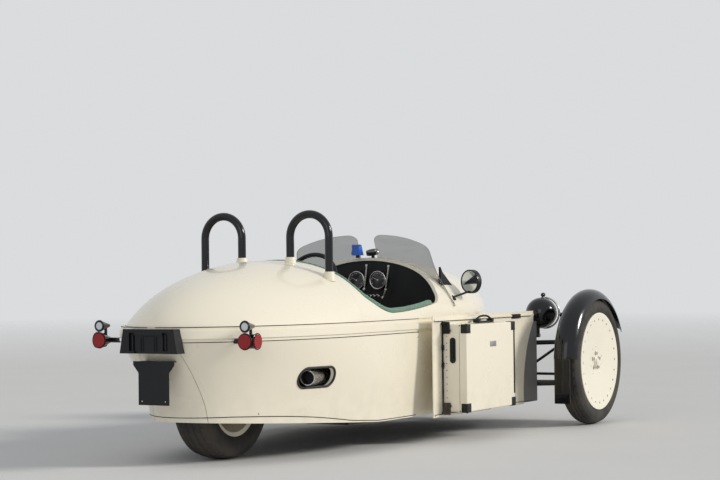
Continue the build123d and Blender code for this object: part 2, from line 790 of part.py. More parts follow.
def exhaust():
    mouth = Vector(EXHAUST_X - 63, EXHAUST_MOUTH_Y, EXHAUST_Z)
    elbow = Vector(EXHAUST_X + 143, EXHAUST_ELBOW_Y, EXHAUST_Z)
    along = (mouth - elbow).normalized()
    join = (EXHAUST_X + 212, MUFFLER_Y, EXHAUST_Z)
    pipe = tube_between(tuple(elbow), tuple(mouth), EXHAUST_TIP_R)
    pipe += tube_between(tuple(elbow), join, EXHAUST_TIP_R)
    muffler = (EXHAUST_X + 182, MUFFLER_Y, EXHAUST_Z)
    pipe += tube_between(muffler, (BULKHEAD_X - GAP, MUFFLER_Y, EXHAUST_Z), MUFFLER_R)
    bore = (tuple(mouth - along * 130), tuple(mouth + along * 20))
    pipe -= tube_between(*bore, EXHAUST_TIP_R - EXHAUST_WALL)
    keep("exhaust_tip", pipe)


# Side blades and cases

def blade_outline():
    x_low, x_high = BLADE_X
    z_low, z_high = BLADE_Z
    return Wire([
        Line((x_low, z_low), (x_high - 143, z_low)),
        ThreePointArc((x_high - 143, z_low), (x_high - 110, z_high - 250), (x_high, z_high - 60)),
        Line((x_high, z_high - 60), (x_high, z_high)),
        Line((x_high, z_high), (x_low, z_high)),
        Line((x_low, z_high), (x_low, z_low)),
    ])


def side_blade():
    plane = Plane(origin=(0, BLADE_OUT_Y, 0), x_dir=(1, 0, 0), z_dir=(0, -1, 0))
    plate = extrude(plane * make_face(blade_outline()), amount=BLADE_T)
    inner_y = BLADE_OUT_Y - BLADE_T + 1
    for x, z in BLADE_POSTS:
        plate += tube_between((x, BODY_HALF_W - TUB_TUCK - 30, z), (x, inner_y, z), 14.0)
    for z, end_x in ((BLADE_Z[1] - 22, BLADE_X[1] - 6), (BLADE_Z[0] + 9, BLADE_X[1] - 150)):
        y_range = (BLADE_OUT_Y - 1, BLADE_OUT_Y + BLADE_RAIL_T)
        plate += block((BLADE_X[0] + 14, end_x), y_range, (z - BLADE_RAIL_H / 2, z + BLADE_RAIL_H / 2))
    return plate - tub_form(-GAP)


def side_duct():
    """The radiator between blade and body, with the plate that carries the blade's front."""
    outer = BLADE_OUT_Y - BLADE_T
    core = block((1790.0, 1850.0), (BODY_HALF_W - 60, outer - DUCT_IN), (180.0, 600.0))
    core -= tub_form(-GAP)
    core -= belt_prism(-RAIL_PROUD - GAP, BELT_LOW_Z, BELT_TOP_Z)
    plate = block((1780.0, DUCT_END_X), (outer - DUCT_IN, outer - DUCT_IN + DUCT_T), (135.0, 590.0))
    for x in (1900.0, BLADE_X[1] - 172):
        for z in (200.0, 540.0):
            plate += tube_between((x, outer - DUCT_IN + 2, z), (x, outer - GAP, z), 12.0)
    return core + plate


def hinge_place():
    return (CASE_X[1] + HINGE_R + 1.5, CASE_Y[1] + LID_GAP / 2)


def hinge_knuckles(first):
    """Every other knuckle of the upright hinge, as its lowest and highest z."""
    pitch = (CASE_Z[1] - CASE_Z[0] - 2 * HINGE_END) / HINGE_COUNT
    start = CASE_Z[0] + HINGE_END
    lows = [start + pitch * count for count in range(first, HINGE_COUNT, 2)]
    return [(low, low + pitch - 1.0) for low in lows]


def case_room(y_range):
    return block((CASE_X[0] + CASE_T, CASE_X[1] - CASE_T), y_range, (CASE_Z[0] + CASE_T, CASE_Z[1] - CASE_T))


def side_case():
    outer = block(CASE_X, CASE_Y, CASE_Z)
    outer = fillet(outer.edges().filter_by(Axis.Y), 12)
    inner = case_room((CASE_Y[0] + CASE_T, CASE_Y[1] + 50))
    shell = outer - fillet(inner.edges().filter_by(Axis.Y), 12 - CASE_T)
    hx, hy = hinge_place()
    leaf_y = (CASE_Y[1] - HINGE_R - 2, CASE_Y[1] - HINGE_PIN_R)
    for low, high in hinge_knuckles(0):
        barrel = Pos(hx, hy, (low + high) / 2) * Cylinder(HINGE_R, high - low)
        shell += barrel + block((CASE_X[1] - 2, hx), leaf_y, (low, high))
    low = hinge_knuckles(0)[0][0]
    high = hinge_knuckles(0)[-1][1]
    return shell + Pos(hx, hy, (low + high) / 2) * Cylinder(HINGE_PIN_R, high - low)


def case_lid():
    y_low = CASE_Y[1] + LID_GAP
    outer = block(CASE_X, (y_low, LID_OUT_Y), CASE_Z)
    outer = fillet(outer.edges().filter_by(Axis.Y), 12)
    outer = fillet(outer.faces().sort_by(Axis.Y)[-1].edges(), 6)
    inner = case_room((y_low - 50, LID_OUT_Y - CASE_T))
    lid = outer - fillet(inner.edges().filter_by(Axis.Y), 12 - CASE_T)
    hx, hy = hinge_place()
    for low, high in hinge_knuckles(1):
        barrel = Pos(hx, hy, (low + high) / 2) * Cylinder(HINGE_R, high - low)
        lid += barrel + block((CASE_X[1] - 2, hx), (y_low + 2, y_low + 8), (low, high))
    for low, high in hinge_knuckles(1):
        lid -= Pos(hx, hy, (low + high) / 2) * Cylinder(HINGE_PIN_R + HINGE_PLAY, high - low + 20)
    return lid


def blades_and_cases():
    pieces = {"side_blade": side_blade(), "case_shell": side_case(), "case_lid": case_lid()}
    for name, shape in pieces.items():
        keep(name + "_left", shape)
        keep(name + "_right", mirrored(shape))
    keep("side_ducts", both_sides(side_duct()))


# Front suspension, steering and lamps

def front_frame():
    half = FRAME_HALF_W
    frame = block(FRAME_X, (-half, half), FRAME_Z)
    inside_x = (FRAME_X[0] + FRAME_T, FRAME_X[1] - FRAME_T)
    frame -= block(inside_x, (FRAME_T - half, half - FRAME_T), (FRAME_Z[0] - 10, FRAME_Z[1] + 10))
    mid_x = (FRAME_X[0] + FRAME_X[1]) / 2
    for x_range in ((inside_x[0] + 68, mid_x - 13), (mid_x + 13, inside_x[1] - 82)):
        frame -= block(x_range, (-400.0, 400.0), (250.0, 425.0))
    frame -= tube_between((RACK_X, -400.0, RACK_Z), (RACK_X, 400.0, RACK_Z), RACK_HOUSING_R + GAP)
    start = TUB_FRONT_X + GAP
    outline = plan_outline(TUB_TUCK, front_x=start + FRAME_PLATE_T + 1)
    low = FRAME_Z[0] - 20
    plate = Pos(0, 0, low - BELT_LOW_Z) * extrude(outline, amount=BELT_TOP_Z - 10 - low)
    frame += plate & block((start, FRAME_X[0] + 1), (-900.0, 900.0), (low, BELT_TOP_Z - 10))
    keep("front_frame", frame)


def kingpin():
    return (Vector(*UPPER_BALL) - Vector(*LOWER_BALL)).normalized()


def wishbone(ball, pivot_x, radius):
    arm = Plane(origin=ball, z_dir=kingpin()) * Cylinder(BALL_R, 2 * BALL_HALF_H)
    for x in pivot_x:
        arm += tube_between(ball, (x, FRAME_HALF_W + GAP, ball[2] - PIVOT_DROP), radius)
    return arm


def suspension():
    half = FRAME_HALF_W + GAP
    shield = block((FRAME_X[0] - 30, FRAME_X[1] + 80), (-half, half), (0.0, 700.0))
    upper = wishbone(UPPER_BALL, UPPER_PIVOT_X, UPPER_ARM_R) - shield
    lower = wishbone(LOWER_BALL, LOWER_PIVOT_X, LOWER_ARM_R) - shield
    keep("upper_wishbones", both_sides(upper))
    keep("lower_wishbones", both_sides(lower))
    top = (WHEELBASE, FRONT_Y - 199, UPPER_BALL[2] - 30)
    rod = tube_between(top, (WHEELBASE + 15, FRAME_HALF_W - 2, FRAME_Z[0] + 5), PULL_ROD_R)
    keep("pull_rods", both_sides(rod - shield - upper - lower))


def upright():
    lx, ly, lz = LOWER_BALL
    inset = kingpin() * (BALL_HALF_H + 0.5)
    low_end = Vector(*LOWER_BALL) + inset
    top_end = Vector(*UPPER_BALL) - inset
    post = tube_between(tuple(low_end), tuple(top_end), POST_R)
    stub = tube_between((WHEELBASE, ly - 20, FRONT_TYRE_R), (WHEELBASE, FRONT_Y + 18, FRONT_TYRE_R), AXLE_R)
    arm = tube_between((lx, ly - 4, RACK_Z), STEER_ARM, 11.0)
    eye = Pos(*STEER_ARM) * Cylinder(STEER_EYE_R, 24.0)
    return post + stub + arm + eye


def front_rim():
    centre = (WHEELBASE, FRONT_Y, FRONT_TYRE_R)
    half = FRONT_TYRE_W / 2
    profile = [
        (AXLE_R + 0.5, -26.0),
        (HUB_R, -26.0),
        (HUB_R, half - DISC_DISH - 14),
        (FRONT_RIM_R - 16, half - 13),
        (FRONT_RIM_R - 8, -half + 12),
        (DISC_R - 6, -half + 6),
        (DISC_R, -half + 6),
        (DISC_R, -half + 12),
        (FRONT_RIM_R, -half + 18),
        (FRONT_RIM_R, half - 18),
        (DISC_R, half - 10),
        (DISC_R, half - 4),
        (DISC_R - 10, half - 4),
        (HUB_R, half - DISC_DISH - 4),
        (AXLE_R + 0.5, half - DISC_DISH - 4),
    ]
    rim = wheel_spin(profile, centre)
    for count in range(DISC_SLOTS):
        turn = 360.0 / DISC_SLOTS * count
        slot = Rot(0, turn, 0) * Pos(FRONT_RIM_R - 24, half - 14, 0) * Rot(90, 0, 0)
        rim -= Pos(*centre) * slot * Cylinder(6.5, 60)
    return rim


def tyre(radius, width, bead_r, centre, flange):
    half = width / 2
    profile = make_face([
        Line((bead_r + GAP, -half + flange), (bead_r + GAP, half - flange)),
        Line((bead_r + GAP, half - flange), (bead_r + 16, half - 10)),
        ThreePointArc((bead_r + 16, half - 10), (radius - 45, half), (radius - 14, half - 16)),
        ThreePointArc((radius - 14, half - 16), (radius, 0), (radius - 14, -half + 16)),
        ThreePointArc((radius - 14, -half + 16), (radius - 45, -half), (bead_r + 16, -half + 10)),
        Line((bead_r + 16, -half + 10), (bead_r + GAP, -half + flange)),
    ])
    return Pos(*centre) * revolve(profile, axis=Axis.Y, revolution_arc=360)


def fender():
    centre = (WHEELBASE, FRONT_Y, FRONT_TYRE_R)
    half = FENDER_HALF_W
    inner_half = half - FENDER_T
    crown_r = FENDER_CROWN_R - FENDER_T
    face = make_face([
        ThreePointArc((FENDER_LIP_R, -half), (FENDER_CROWN_R, 0), (FENDER_LIP_R, half)),
        Line((FENDER_LIP_R, half), (FENDER_LIP_R, inner_half)),
        ThreePointArc((FENDER_LIP_R, inner_half), (crown_r, 0), (FENDER_LIP_R, -inner_half)),
        Line((FENDER_LIP_R, -inner_half), (FENDER_LIP_R, -half)),
    ])
    arc = FENDER_REAR_DEG - FENDER_FRONT_DEG
    turned = Rot(0, -FENDER_FRONT_DEG, 0) * face
    wing = Pos(*centre) * revolve(turned, axis=Axis.Y, revolution_arc=-arc)
    flap_x = WHEELBASE - FENDER_CROWN_R + FENDER_T + 8
    flap_y = (FRONT_Y - half + 23, FRONT_Y + half - 27)
    flap = block((flap_x - FLAP_T, flap_x), flap_y, (FLAP_LOW_Z, FRONT_TYRE_R + 40))
    stay_y = FRONT_Y - half - STAY_T / 2 + 0.5
    stays = Pos(WHEELBASE, stay_y, FRONT_TYRE_R) * Rot(90, 0, 0) * Cylinder(34.0, STAY_T)
    for turn in STAY_TURNS:
        bar = Rot(0, -turn, 0) * Pos(STAY_REACH / 2, 0, 0) * Box(STAY_REACH, STAY_T, STAY_W)
        stays += Pos(WHEELBASE, stay_y, FRONT_TYRE_R) * bar
    stays -= upright()
    return wing + flap + stays


def front_corner():
    centre = (WHEELBASE, FRONT_Y, FRONT_TYRE_R)
    pieces = {
        "upright": upright(),
        "front_rim": front_rim(),
        "fender": fender(),
        "front_tyre": tyre(FRONT_TYRE_R, FRONT_TYRE_W, FRONT_RIM_R, centre, 20.0),
    }
    pieces["front_tyre"] -= pieces["front_rim"]
    for name, shape in pieces.items():
        keep(name + "_left", shape)
        keep(name + "_right", mirrored(shape))


def rear_wheel():
    centre = (0.0, 0.0, REAR_TYRE_R)
    half = REAR_TYRE_W / 2
    profile = [
        (REAR_AXLE_R + 0.5, -50.0),
        (50.0, -50.0),
        (50.0, 40.0),
        (REAR_RIM_R - 22, 60.0),
        (REAR_RIM_R - 14, -half + 22),
        (REAR_RIM_R + 8, -half + 16),
        (REAR_RIM_R + 8, -half + 24),
        (REAR_RIM_R, -half + 32),
        (REAR_RIM_R, half - 32),
        (REAR_RIM_R + 8, half - 24),
        (REAR_RIM_R + 8, half - 16),
        (REAR_RIM_R - 18, 72.0),
        (50.0, 52.0),
        (REAR_AXLE_R + 0.5, 52.0),
    ]
    rim = wheel_spin(profile, centre)
    keep("rear_rim", rim)
    keep("rear_tyre", tyre(REAR_TYRE_R, REAR_TYRE_W, REAR_RIM_R, centre, 30.0) - rim)


def swingarm():
    z = REAR_TYRE_R
    pivot_x = BULKHEAD_X - 65
    arm_y = REAR_TYRE_W / 2 + 33.5
    arms = tube_between((pivot_x, -arm_y - 19, z - 13.5), (pivot_x, arm_y + 19, z - 13.5), 26.0)
    for side in (-1, 1):
        bar = [(-30.0, z - 27.5), (-30.0, z + 26.5), (pivot_x - 15, z + 12.5), (pivot_x - 15, z - 41.5)]
        arms += side_prism(bar, (side * arm_y - 15, side * arm_y + 15))
        ear_y = (side * (arm_y + 74) - 50, side * (arm_y + 74) + 50)
        arms += block((pivot_x - 10, BULKHEAD_X - GAP), ear_y, (z - 53.5, z + 26.5))
    arms += tube_between((0.0, -arm_y - 19, z), (0.0, arm_y + 19, z), REAR_AXLE_R)
    arms += tube_between((pivot_x, -arm_y - 109, z - 13.5), (pivot_x, arm_y + 109, z - 13.5), 16.0)
    keep("swingarm", arms)


def steering():
    lean = radians(COLUMN_LEAN)
    ahead = Vector(cos(lean), 0, -sin(lean))
    centre = Vector(*HAND_WHEEL_C)
    plane = Plane(origin=centre, x_dir=(0, 1, 0), z_dir=(-ahead.X, 0, -ahead.Z))
    rim = plane * Torus(HAND_WHEEL_R, HAND_RIM_R)
    for turn in (90.0, 210.0, 330.0):
        rim += plane * Rot(0, 0, turn) * Pos(HAND_WHEEL_R / 2, 0, -6) * Box(HAND_WHEEL_R, 30, 5)
    hub = plane * Pos(0, 0, -12) * Cylinder(34.0, 30)
    keep("steering_wheel", rim + hub)
    start = centre + ahead * (27 + GAP)
    reach = (FIREWALL_X - 0.5 - COLUMN_R * sin(lean) - start.X) / cos(lean)
    end = start + ahead * reach
    keep("steering_column", tube_between(tuple(start), tuple(end), COLUMN_R))


def rack_and_ties():
    x, y, z = STEER_ARM
    inner = FRAME_HALF_W + 60
    bar = tube_between((RACK_X, -inner, RACK_Z), (RACK_X, inner, RACK_Z), RACK_R)
    for side in (-1, 1):
        end = (x, side * (y - STEER_EYE_R - RUNNING_GAP), RACK_Z)
        bar += tube_between((RACK_X, side * (inner - 5), RACK_Z), end, TIE_R)
    keep("steering_rack", bar)
    half = FRAME_HALF_W + 8
    housing = tube_between((RACK_X, -half, RACK_Z), (RACK_X, half, RACK_Z), RACK_HOUSING_R)
    housing -= tube_between((RACK_X, -half - 5, RACK_Z), (RACK_X, half + 5, RACK_Z), RACK_R + 1.0)
    keep("rack_housing", housing)


def headlamps():
    r = LAMP_R
    cut = LAMP_FRONT
    rim_r = sqrt(r * r - cut * cut)
    bowl = make_face([
        ThreePointArc((-r, 0), (-r * cos(radians(45)), r * sin(radians(45))), (0, r)),
        ThreePointArc((0, r), (cut / 2, sqrt(r * r - cut * cut / 4)), (cut, rim_r)),
        Line((cut, rim_r), (cut, 0)),
        Line((cut, 0), (-r, 0)),
    ])
    shell = Pos(*LAMP_C) * revolve(bowl, axis=Axis.X, revolution_arc=360)
    x, y, z = LAMP_POST
    shell += Pos(x, y, (z + LAMP_C[2]) / 2) * Cylinder(LAMP_POST_R, LAMP_C[2] - z)
    shell += tube_between((x, FRAME_HALF_W + GAP, z), (x, y + LAMP_POST_R, z), LAMP_POST_R + 1)
    keep("headlamps", both_sides(shell))
    ring = Pos(LAMP_C[0] + cut + GAP + 6, LAMP_C[1], LAMP_C[2]) * Rot(0, 90, 0) * Cylinder(rim_r + 3, 12.0)
    keep("headlamp_lenses", both_sides(ring))


def build():
    rear_deck()
    cockpit_sides()
    scuttle()
    cockpit_trim()
    bonnet()
    nose_cowl()
    tub_panels()
    belt_rails()
    floor_pan()
    rear_bulkhead()
    firewall()
    centre_tunnel()
    engine_block()
    seats()
    dashboard()
    pedals()
    roll_hoops()
    screens()
    door_mirrors()
    centre_mirror()
    tail_fittings()
    tail_lamps()
    exhaust()
    blades_and_cases()
    front_frame()
    suspension()
    front_corner()
    rear_wheel()
    swingarm()
    steering()
    rack_and_ties()
    headlamps()


build()
for name, shape in NODES.items():
    solids = (Pos(-ORIGIN_X, 0, 0) * shape).solids()
    export_step(solids[0] if len(solids) == 1 else Compound(solids), "parts/" + name + ".step")
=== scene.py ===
"""Looks for the three wheeled open car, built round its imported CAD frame."""

import json
from math import atan2, cos, pi, radians, sin, sqrt

import bmesh
import bpy
from mathutils import Matrix, Vector
from mathutils.bvhtree import BVHTree


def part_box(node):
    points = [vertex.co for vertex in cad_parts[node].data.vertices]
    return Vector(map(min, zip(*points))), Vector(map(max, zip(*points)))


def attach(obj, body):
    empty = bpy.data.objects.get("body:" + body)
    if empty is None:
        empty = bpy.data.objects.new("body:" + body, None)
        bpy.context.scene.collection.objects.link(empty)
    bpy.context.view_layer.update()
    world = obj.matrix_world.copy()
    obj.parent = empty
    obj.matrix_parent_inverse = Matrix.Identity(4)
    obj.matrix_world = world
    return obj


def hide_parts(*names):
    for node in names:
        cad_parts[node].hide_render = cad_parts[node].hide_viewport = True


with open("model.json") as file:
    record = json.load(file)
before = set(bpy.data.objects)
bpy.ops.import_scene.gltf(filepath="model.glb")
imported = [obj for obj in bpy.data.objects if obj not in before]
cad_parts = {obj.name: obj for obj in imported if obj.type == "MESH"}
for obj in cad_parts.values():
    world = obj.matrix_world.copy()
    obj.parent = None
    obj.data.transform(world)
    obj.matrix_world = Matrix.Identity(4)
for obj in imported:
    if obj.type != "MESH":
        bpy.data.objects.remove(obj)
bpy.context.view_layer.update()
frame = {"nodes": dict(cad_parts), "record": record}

NODES = frame["nodes"]
SLOT_OF = {row["node"]: row["material_slot"] for row in frame["record"]["subparts"]}
SIDES = (("left", 1), ("right", -1))

# The CAD source measures in millimetres from the rear axle and the ground, as place() does.
ORIGIN_X = 1.1995
WHEELBASE = 2520
FRONT_Y = 854
FRONT_TYRE_R = 360.0
REAR_TYRE_R = 303.5
FAR = 900


def place(x, y, z):
    """A point given in the CAD source's millimetres, in the shared frame."""
    return Vector((x / 1000 - ORIGIN_X, y / 1000, z / 1000))


# Materials

DUST_LOW_Z, DUST_HIGH_Z = 0.1, 0.42
DUST_COLOUR = (0.33, 0.28, 0.21)


def link(tree, a, b):
    tree.links.new(a, b)


def math_node(tree, kind, a, b=None, clamp=False):
    node = tree.nodes.new("ShaderNodeMath")
    node.operation = kind
    node.use_clamp = clamp
    for socket, value in zip(node.inputs, (a, b)):
        if isinstance(value, (int, float)):
            socket.default_value = value
        elif value is not None:
            link(tree, value, socket)
    return node.outputs[0]


def noise(tree, where, scale):
    node = tree.nodes.new("ShaderNodeTexNoise")
    node.inputs["Scale"].default_value = scale
    node.inputs["Detail"].default_value = 4.0
    link(tree, where, node.inputs["Vector"])
    return node.outputs["Fac"]


def cells(tree, where, scale):
    node = tree.nodes.new("ShaderNodeTexVoronoi")
    node.feature = "SMOOTH_F1"
    node.inputs["Scale"].default_value = scale
    link(tree, where, node.inputs["Vector"])
    return node.outputs["Distance"]


def weave(tree, where, scale):
    """Two crossed waves, as threads over and under."""
    ways = []
    for axis in ("X", "Z"):
        node = tree.nodes.new("ShaderNodeTexWave")
        node.bands_direction = axis
        node.inputs["Scale"].default_value = scale
        node.inputs["Distortion"].default_value = 0.6
        link(tree, where, node.inputs["Vector"])
        ways.append(node.outputs["Fac"])
    return math_node(tree, "MULTIPLY", *ways)


def brushed(tree, where, scale):
    """Noise drawn out along X, as from a brush."""
    stretch = tree.nodes.new("ShaderNodeMapping")
    stretch.inputs["Scale"].default_value = (1, 12, 12)
    link(tree, where, stretch.inputs["Vector"])
    return noise(tree, stretch.outputs[0], scale)


GRAINS = {"noise": noise, "cells": cells, "weave": weave, "brushed": brushed}


def mixed(tree, factor, low, high):
    """Two colours, each a tuple or a socket, mixed by a factor."""
    node = tree.nodes.new("ShaderNodeMix")
    node.data_type = "RGBA"
    link(tree, factor, node.inputs["Factor"])
    for name, value in (("A", low), ("B", high)):
        socket = next(s for s in node.inputs if s.name == name and s.type == "RGBA")
        if isinstance(value, tuple):
            socket.default_value = (*value, 1)
        else:
            link(tree, value, socket)
    return next(s for s in node.outputs if s.type == "RGBA")


def mapped(tree, value, low, high, to_low, to_high):
    node = tree.nodes.new("ShaderNodeMapRange")
    for key, number in (("From Min", low), ("From Max", high), ("To Min", to_low), ("To Max", to_high)):
        node.inputs[key].default_value = number
    link(tree, value, node.inputs["Value"])
    return node.outputs[0]


def dusted(tree, where, tint, amount):
    """A film of road dust in patches, which fades with height."""
    split = tree.nodes.new("ShaderNodeSeparateXYZ")
    link(tree, where, split.inputs[0])
    low = mapped(tree, split.outputs["Z"], DUST_LOW_Z, DUST_HIGH_Z, amount, 0)
    patches = mapped(tree, noise(tree, where, 14.0), 0.35, 0.7, 0.2, 1)
    return mixed(tree, math_node(tree, "MULTIPLY", low, patches, True), tint, DUST_COLOUR)


def material(name, colour, rough, metal=0.0, coat=0.0, vary=0.08, vary_scale=6.0, grain="noise",
             grain_scale=120.0, bump=0.1, bump_depth=0.0004, glass=0.0, sheen=0.0, dust=0.0,
             second=None, second_scale=40.0, ior=1.45, spec=0.5):
    """A principled finish whose colour, roughness and relief all vary in the object's own space."""
    made = bpy.data.materials.new(name)
    made.use_nodes = True
    tree = made.node_tree
    shader = tree.nodes["Principled BSDF"]
    where = tree.nodes.new("ShaderNodeTexCoord").outputs["Object"]
    patch = noise(tree, where, vary_scale)
    dark = tuple(c * (1 - vary) for c in colour)
    light = tuple(min(c * (1 + vary), 1.0) for c in colour)
    tint = mixed(tree, mapped(tree, patch, 0.2, 0.8, 0, 1), dark, light)
    relief = GRAINS[grain](tree, where, grain_scale)
    if second:
        flecks = relief if grain == "weave" else noise(tree, where, second_scale)
        tint = mixed(tree, mapped(tree, flecks, 0.35, 0.6, 0, 1), tint, second)
    if dust:
        tint = dusted(tree, where, tint, dust)
    link(tree, tint, shader.inputs["Base Color"])
    smear = noise(tree, where, vary_scale * 3.1)
    smooth, dull = max(rough - 0.06, 0.02), min(rough + 0.08, 1)
    link(tree, mapped(tree, smear, 0.3, 0.7, smooth, dull), shader.inputs["Roughness"])
    dent = tree.nodes.new("ShaderNodeBump")
    dent.inputs["Strength"].default_value = bump
    dent.inputs["Distance"].default_value = bump_depth
    link(tree, relief, dent.inputs["Height"])
    link(tree, dent.outputs[0], shader.inputs["Normal"])
    for key, value in (("Metallic", metal), ("Coat Weight", coat), ("Coat Roughness", 0.05),
                       ("Transmission Weight", glass), ("Sheen Weight", sheen), ("IOR", ior),
                       ("Specular IOR Level", spec)):
        shader.inputs[key].default_value = value
    return made


FINISH_ROWS = {
    "body_cream": dict(colour=(0.88, 0.815, 0.66), rough=0.3, coat=0.5, vary=0.015, vary_scale=1.6,
                       grain_scale=420, bump=0.05, bump_depth=0.0002, dust=0.22),
    "wheel_cream": dict(colour=(0.88, 0.83, 0.69), rough=0.38, coat=0.3, vary=0.03, vary_scale=4,
                        grain_scale=500, bump=0.1, bump_depth=0.0002),
    "gloss_black": dict(colour=(0.004, 0.0045, 0.006), rough=0.2, coat=0.55, spec=0.2, vary=0.25,
                        grain_scale=380, bump=0.04, bump_depth=0.0002),
    "chassis_black": dict(colour=(0.008, 0.0085, 0.01), rough=0.42, spec=0.3, vary=0.3, vary_scale=12,
                          grain_scale=260, bump=0.25, dust=0.3),
    "trim_black": dict(colour=(0.009, 0.0095, 0.011), rough=0.44, spec=0.35, vary=0.2, grain="cells",
                       grain_scale=420, bump=0.5, bump_depth=0.0006),
    "seat_black": dict(colour=(0.012, 0.0115, 0.011), rough=0.5, spec=0.35, vary=0.25, vary_scale=9,
                       grain="cells", grain_scale=330, bump=0.55, bump_depth=0.0007, sheen=0.15),
    "cast_metal": dict(colour=(0.36, 0.36, 0.37), rough=0.5, metal=0.9, vary=0.15, vary_scale=14,
                       grain_scale=200, bump=0.4, bump_depth=0.0006),
    "steel": dict(colour=(0.6, 0.58, 0.55), rough=0.26, metal=1.0, vary=0.1, vary_scale=9,
                  grain="brushed", grain_scale=26, bump=0.05, bump_depth=0.0001),
    "smoked_glass": dict(colour=(0.5, 0.5, 0.49), rough=0.05, glass=0.93, vary=0.04, vary_scale=5,
                         grain_scale=40, bump=0.02, bump_depth=0.0002, ior=1.3),
    "clear_lens": dict(colour=(0.82, 0.84, 0.86), rough=0.08, glass=0.7, vary=0.03, grain="cells",
                       grain_scale=140, bump=0.5, bump_depth=0.001),
    "red_lens": dict(colour=(0.3, 0.006, 0.008), rough=0.16, coat=0.35, spec=0.3, vary=0.12,
                     grain="cells", grain_scale=190, bump=0.7, bump_depth=0.0012),
    "duct_grey": dict(colour=(0.2, 0.2, 0.205), rough=0.5, vary=0.12, vary_scale=5, grain_scale=260,
                      bump=0.2, dust=0.3),
    "tyre_black": dict(colour=(0.03, 0.029, 0.027), rough=0.78, vary=0.28, vary_scale=11,
                       grain_scale=340, bump=0.5, bump_depth=0.0006, second=(0.06, 0.052, 0.043),
                       second_scale=7),
    "trim_green": dict(colour=(0.085, 0.2, 0.135), rough=0.8, vary=0.18, vary_scale=25, grain="weave",
                       grain_scale=42, bump=0.9, bump_depth=0.0012, sheen=0.3, second=(0.3, 0.42, 0.33)),
    "clamp_blue": dict(colour=(0.012, 0.12, 0.58), rough=0.3, coat=0.4, vary=0.12, grain_scale=300,
                       bump=0.2),
    "mirror_glass": dict(colour=(0.62, 0.66, 0.7), rough=0.06, metal=1.0, vary=0.03, grain_scale=60,
                         bump=0.02, bump_depth=0.0001),
    "dial_face": dict(colour=(0.015, 0.015, 0.016), rough=0.4, coat=0.6, vary=0.2, grain_scale=300,
                      bump=0.1),
    "dial_white": dict(colour=(0.75, 0.74, 0.7), rough=0.5, vary=0.05, grain_scale=300, bump=0.1),
    "carpet": dict(colour=(0.018, 0.018, 0.02), rough=0.95, vary=0.35, vary_scale=30, grain_scale=900,
                   bump=1.0, bump_depth=0.002, sheen=0.4),
    "rubber": dict(colour=(0.022, 0.022, 0.023), rough=0.6, vary=0.2, grain_scale=400, bump=0.3),
}
FINISH = {name: material(name, **row) for name, row in FINISH_ROWS.items()}
CARPETED = ("floor_pan", "centre_tunnel")
LENS_SPLIT_Z = 0.613


def lens_pair():
    """Red below and clear above, split by height in the lens's own space."""
    made = FINISH["red_lens"].copy()
    made.name = "tail_lens_pair"
    tree = made.node_tree
    shader = tree.nodes["Principled BSDF"]
    red = shader.inputs["Base Color"].links[0].from_socket
    split = tree.nodes.new("ShaderNodeSeparateXYZ")
    link(tree, tree.nodes.new("ShaderNodeTexCoord").outputs["Object"], split.inputs[0])
    above = mapped(tree, split.outputs["Z"], LENS_SPLIT_Z - 0.0005, LENS_SPLIT_Z + 0.0005, 0, 1)
    link(tree, mixed(tree, above, red, (0.66, 0.69, 0.72)), shader.inputs["Base Color"])
    return made


for node_name, node in NODES.items():
    finish = FINISH["carpet"] if node_name in CARPETED else FINISH[SLOT_OF[node_name]]
    node.data.materials.clear()
    node.data.materials.append(finish)
NODES["tail_lenses"].data.materials[0] = lens_pair()


# Mesh helpers

def finish_piece(name, builder, body, finish, smooth=40):
    """Turns a bmesh into a piece that rides on a body."""
    mesh = bpy.data.meshes.new(name)
    bmesh.ops.recalc_face_normals(builder, faces=builder.faces)
    builder.to_mesh(mesh)
    builder.free()
    made = bpy.data.objects.new(name, mesh)
    bpy.context.scene.collection.objects.link(made)
    mesh.materials.append(FINISH[finish])
    if smooth:
        mesh.shade_smooth()
        mesh.set_sharp_from_angle(angle=radians(smooth))
    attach(made, body)
    return made


def turned_to(centre, direction):
    """A matrix that carries local Z onto a direction, at a centre."""
    return Matrix.Translation(centre) @ Vector(direction).to_track_quat("Z", "Y").to_matrix().to_4x4()


def add_lathe(builder, profile, matrix, turns=32, closed=False):
    """Revolves (radius, height) points about local Z. A radius of zero closes the end."""
    angles = [2 * pi * i / turns for i in range(turns)]
    rings = []
    for radius, height in profile:
        ring = [(radius * cos(a), radius * sin(a), height) for a in (angles if radius > 0 else (0,))]
        rings.append([builder.verts.new(matrix @ Vector(point)) for point in ring])
    pairs = list(zip(rings, rings[1:])) + ([(rings[-1], rings[0])] if closed else [])
    for low, high in pairs:
        for i in range(turns):
            j = (i + 1) % turns
            corners = [low[i % len(low)], low[j % len(low)], high[j % len(high)], high[i % len(high)]]
            distinct = list(dict.fromkeys(corners))
            if len(distinct) > 2:
                builder.faces.new(distinct)


def add_box(builder, matrix, size, bevel, segments=2):
    """A box with rounded edges, centred on its matrix."""
    corners = bmesh.ops.create_cube(builder, size=1.0)["verts"]
    for v in corners:
        v.co = matrix @ Vector((v.co.x * size[0], v.co.y * size[1], v.co.z * size[2]))
    if bevel:
        edges = list(dict.fromkeys(e for v in corners for e in v.link_edges))
        bmesh.ops.bevel(builder, geom=edges, offset=min(bevel, min(size) * 0.45), segments=segments,
                        profile=0.6, affect="EDGES")


def add_block(builder, at, size, bevel, segments=2):
    """A rounded box that stands square to the car, at a place in millimetres."""
    add_box(builder, Matrix.Translation(place(*at)), size, bevel, segments)


